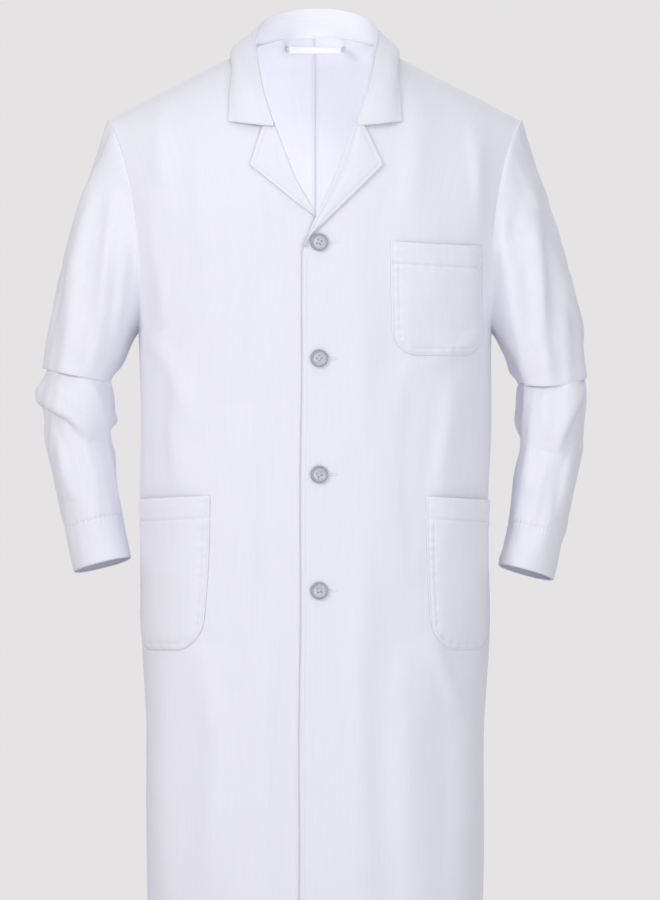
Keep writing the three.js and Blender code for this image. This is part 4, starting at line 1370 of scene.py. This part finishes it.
def sewn(name, lines, **sizes):
    """One mesh of stitches along (points, normals) lines, with any sizes given by socket name."""
    points, edges, normals, count = [], [], [], 0
    for line_points, line_normals in lines:
        points.extend(line_points.tolist())
        normals.append(line_normals)
        edges.extend((count + k, count + k + 1) for k in range(len(line_points) - 1))
        count += len(line_points)
    mesh = bpy.data.meshes.new(name)
    mesh.from_pydata(points, edges, [])
    away = mesh.attributes.new("out_of_cloth", "FLOAT_VECTOR", "POINT")
    away.data.foreach_set("vector", np.concatenate(normals).astype(np.float32).ravel())
    guide = bpy.data.objects.new("guide", mesh)
    bpy.context.scene.collection.objects.link(guide)
    nodes = guide.modifiers.new("topstitch", "NODES")
    nodes.node_group = topstitch
    values = {**STITCH_SIZES, "Material": thread_cotton, **sizes}
    for socket in topstitch.interface.items_tree:
        if socket.in_out == "INPUT" and socket.name in values:
            nodes[socket.identifier] = values[socket.name]
    piece = applied(guide, name)
    remove(guide)
    piece.data.shade_smooth()
    return piece


FRONT = (0, -1, 0)
SINK = 0.00012


def level_out(points, middle=0):
    """Level directions from the middle of a piece out to the points."""
    return (points - middle) * [1, 1, 0]


def front_lines(name):
    """The stitched lines of a front's edge and hem."""
    points = front_grids[name]
    rows = points if points[0, 0, 2] < points[-1, 0, 2] else points[::-1]
    hem_row = int(np.argmin(np.abs(rows[:, 0, 2] - (HEM + HEM_STITCH))))
    last = int(np.argmin(np.abs(rows[:, 0, 2] - (BREAK - 0.004))))
    edge_rows = np.arange(1, last)
    column = at_distance(rows, EDGE_STITCH)[edge_rows]
    lines = [on_grid(rows, edge_rows.astype(float), column, FRONT, SINK)]
    across = np.linspace(2, rows.shape[1] - 2, 160)
    lines.append(on_grid(rows, np.full(160, float(hem_row)), across, level_out, SINK))
    return lines


def buttonhole(level, length=0.022, height=0.0026):
    """A closed purl round the slit, over the front, from the button line outwards."""
    turn = np.linspace(0, 2 * np.pi, 60)
    x = BUTTON_LINE - 0.002 + length / 2 + (length / 2) * np.cos(turn)
    z = level + (height / 2) * np.clip(1.6 * np.sin(turn), -1, 1)
    return front_point(1, x, z, 0.00018)


for name in ("left", "right"):
    swing(sewn(f"{name}_front_stitches", front_lines(name)), name)
purls = [buttonhole(level) for level in BUTTON_LEVELS]
swing(sewn("buttonhole_purl", purls, Pitch=0.0007, Stitch=0.0013, Thread=0.0007), "left")



def patch_lines(points, band):
    """Two rows of stitches round a pocket's three sewn sides, and one under its band."""
    last_row, last_column = points.shape[0] - 1, points.shape[1] - 1
    columns = np.arange(last_column + 1)
    height = np.linalg.norm(np.diff(points, axis=0), axis=2).sum(0)
    width = np.linalg.norm(np.diff(points[0], axis=0), axis=1).sum()
    lines = []
    for inset, start in ((PATCH_STITCH, 0.002), (SECOND_STITCH, band)):
        first = inset / width * last_column
        down = np.linspace(start, height[0] - inset, 40) / height[0] * last_row
        foot_j = np.linspace(first, last_column - first, 90)
        foot_i = last_row - inset / np.interp(foot_j, columns, height) * last_row
        i = np.concatenate([down, foot_i[1:-1], down[::-1]])
        j = np.concatenate([np.full(40, first), foot_j[1:-1], np.full(40, last_column - first)])
        lines.append(on_grid(points, i, j, FRONT, SINK))
    across = np.linspace(1, last_column - 1, 80)
    level = band / np.interp(across, columns, height) * last_row
    return [*lines, on_grid(points, level, across, FRONT, SINK)]


def edge_line(points, rows, inset, toward):
    """A row of stitches that far in from the outer edge of a lapel or collar."""
    column = at_distance(points, inset, from_end=True)[rows]
    return on_grid(points, rows.astype(float), column, toward, SINK)


def back_line(x, z):
    """A row of stitches over the back."""
    return on_surface(back_y, x, z, back_lift(x, z) + SINK, toward=1)


coat_lines = []
for name, points in patch_grids.items():
    coat_lines.extend(patch_lines(points, PATCHES[name]["band"]))
for points in lapel_grids.values():
    coat_lines.append(edge_line(points, np.arange(3, len(points) - 8), LAPEL_STITCH, FRONT))
around = np.arange(4, len(collar_points) - 4)
coat_lines.append(edge_line(collar_points, around, COLLAR_STITCH, level_out))
coat_lines.append(back_line(np.full(60, VENT_STITCH), np.linspace(VENT_TOP, HEM + 0.02, 60)))
for side in (1, -1):
    hem_x = side * np.linspace(0.004, 0.17, 70)
    coat_lines.append(back_line(hem_x, np.full(70, HEM + HEM_STITCH)))
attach(sewn("coat_stitches", coat_lines), "coat")

for side, name in ((1, "left"), (-1, "right")):
    points = ring_out(lower_sleeve_points(side), side)
    up = from_cuff(lower_sleeve_grid(side))
    level = np.array([np.interp(-CUFF_HEM, -up[:, k], np.arange(len(up))) for k in range(RING)])
    if points[0, 0, 2] < points[-1, 0, 2]:
        level = len(points) - 1 - level
    centre = points[len(points) // 2].mean(0)
    columns = np.arange(RING, dtype=float)
    line = on_grid(points, level, columns, lambda p: level_out(p, centre), SINK)
    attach(sewn(f"{name}_cuff_stitches", [line]), f"{name}_forearm")

# ---- Vent underlap ------------------------------------------------------------------------------
# A strip that carries the right back panel on under the left one, below the end of the middle
# seam, so that the skirt stays closed when it hangs still.

UNDERLAP_WIDTH = 0.034
UNDERLAP_INSIDE = 0.0026
x, z = np.meshgrid(np.linspace(0.0006, UNDERLAP_WIDTH, 12), np.linspace(HEM + 0.002, VENT_TOP, 70))
strip = on_surface(back_y, x, z, back_lift(x, z) - UNDERLAP_INSIDE, toward=1)[0]
# The underlap, under the left back panel, wears the twill with painted shade.
underlap = cloth_piece("vent_underlap", facing(strip, (0, 1, 0)), painted_shade_twill, 0.0008)
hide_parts("back_vent_underlap")
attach(underlap, "coat")

# ---- Hanging loop -------------------------------------------------------------------------------
# A flat strap of folded cloth across the inside of the back neck, its ends caught in the neck
# seam; the coat hangs on a hook by it.

STRAP_RISE = 0.006
STRAP_SAG = 0.0016
STRAP_CLOTH = 0.0011
STRAP_SAMPLES = 120

loop_low, loop_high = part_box("hanger_loop")
strap_half = loop_high.x - 0.0006
strap_face = loop_low.y + 0.0006
wall = float(back_y(np.array(strap_half), np.array(0.004))) - 0.0012
strap_end = [
    (strap_half - 0.008, strap_face, 0), (strap_half - 0.002, strap_face + 0.002, 0),
    (strap_half, mix(wall, strap_face, 0.55), 0), (strap_half, wall, 0),
]
other_end = [(-x, y, z) for x, y, z in reversed(strap_end)]
strap_path = smooth_line([*other_end, (0, strap_face + 0.0008, 0), *strap_end], STRAP_SAMPLES)
sag = STRAP_SAG * np.sin(np.pi * np.linspace(0, 1, STRAP_SAMPLES))
strap_rows = []
for t in np.linspace(0, 1, 12):
    row = strap_path.copy()
    row[:, 2] = STRAP_RISE + mix(loop_low.z, loop_high.z, t) - sag
    row[:, 1] += 0.0005 * np.sin(np.pi * t)
    strap_rows.append(row)
strap_points = facing(np.array(strap_rows), (0, -1, 0))
strap = cloth_piece("hanging_strap", strap_points, white_twill, STRAP_CLOTH)
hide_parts("hanger_loop")
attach(strap, "coat")
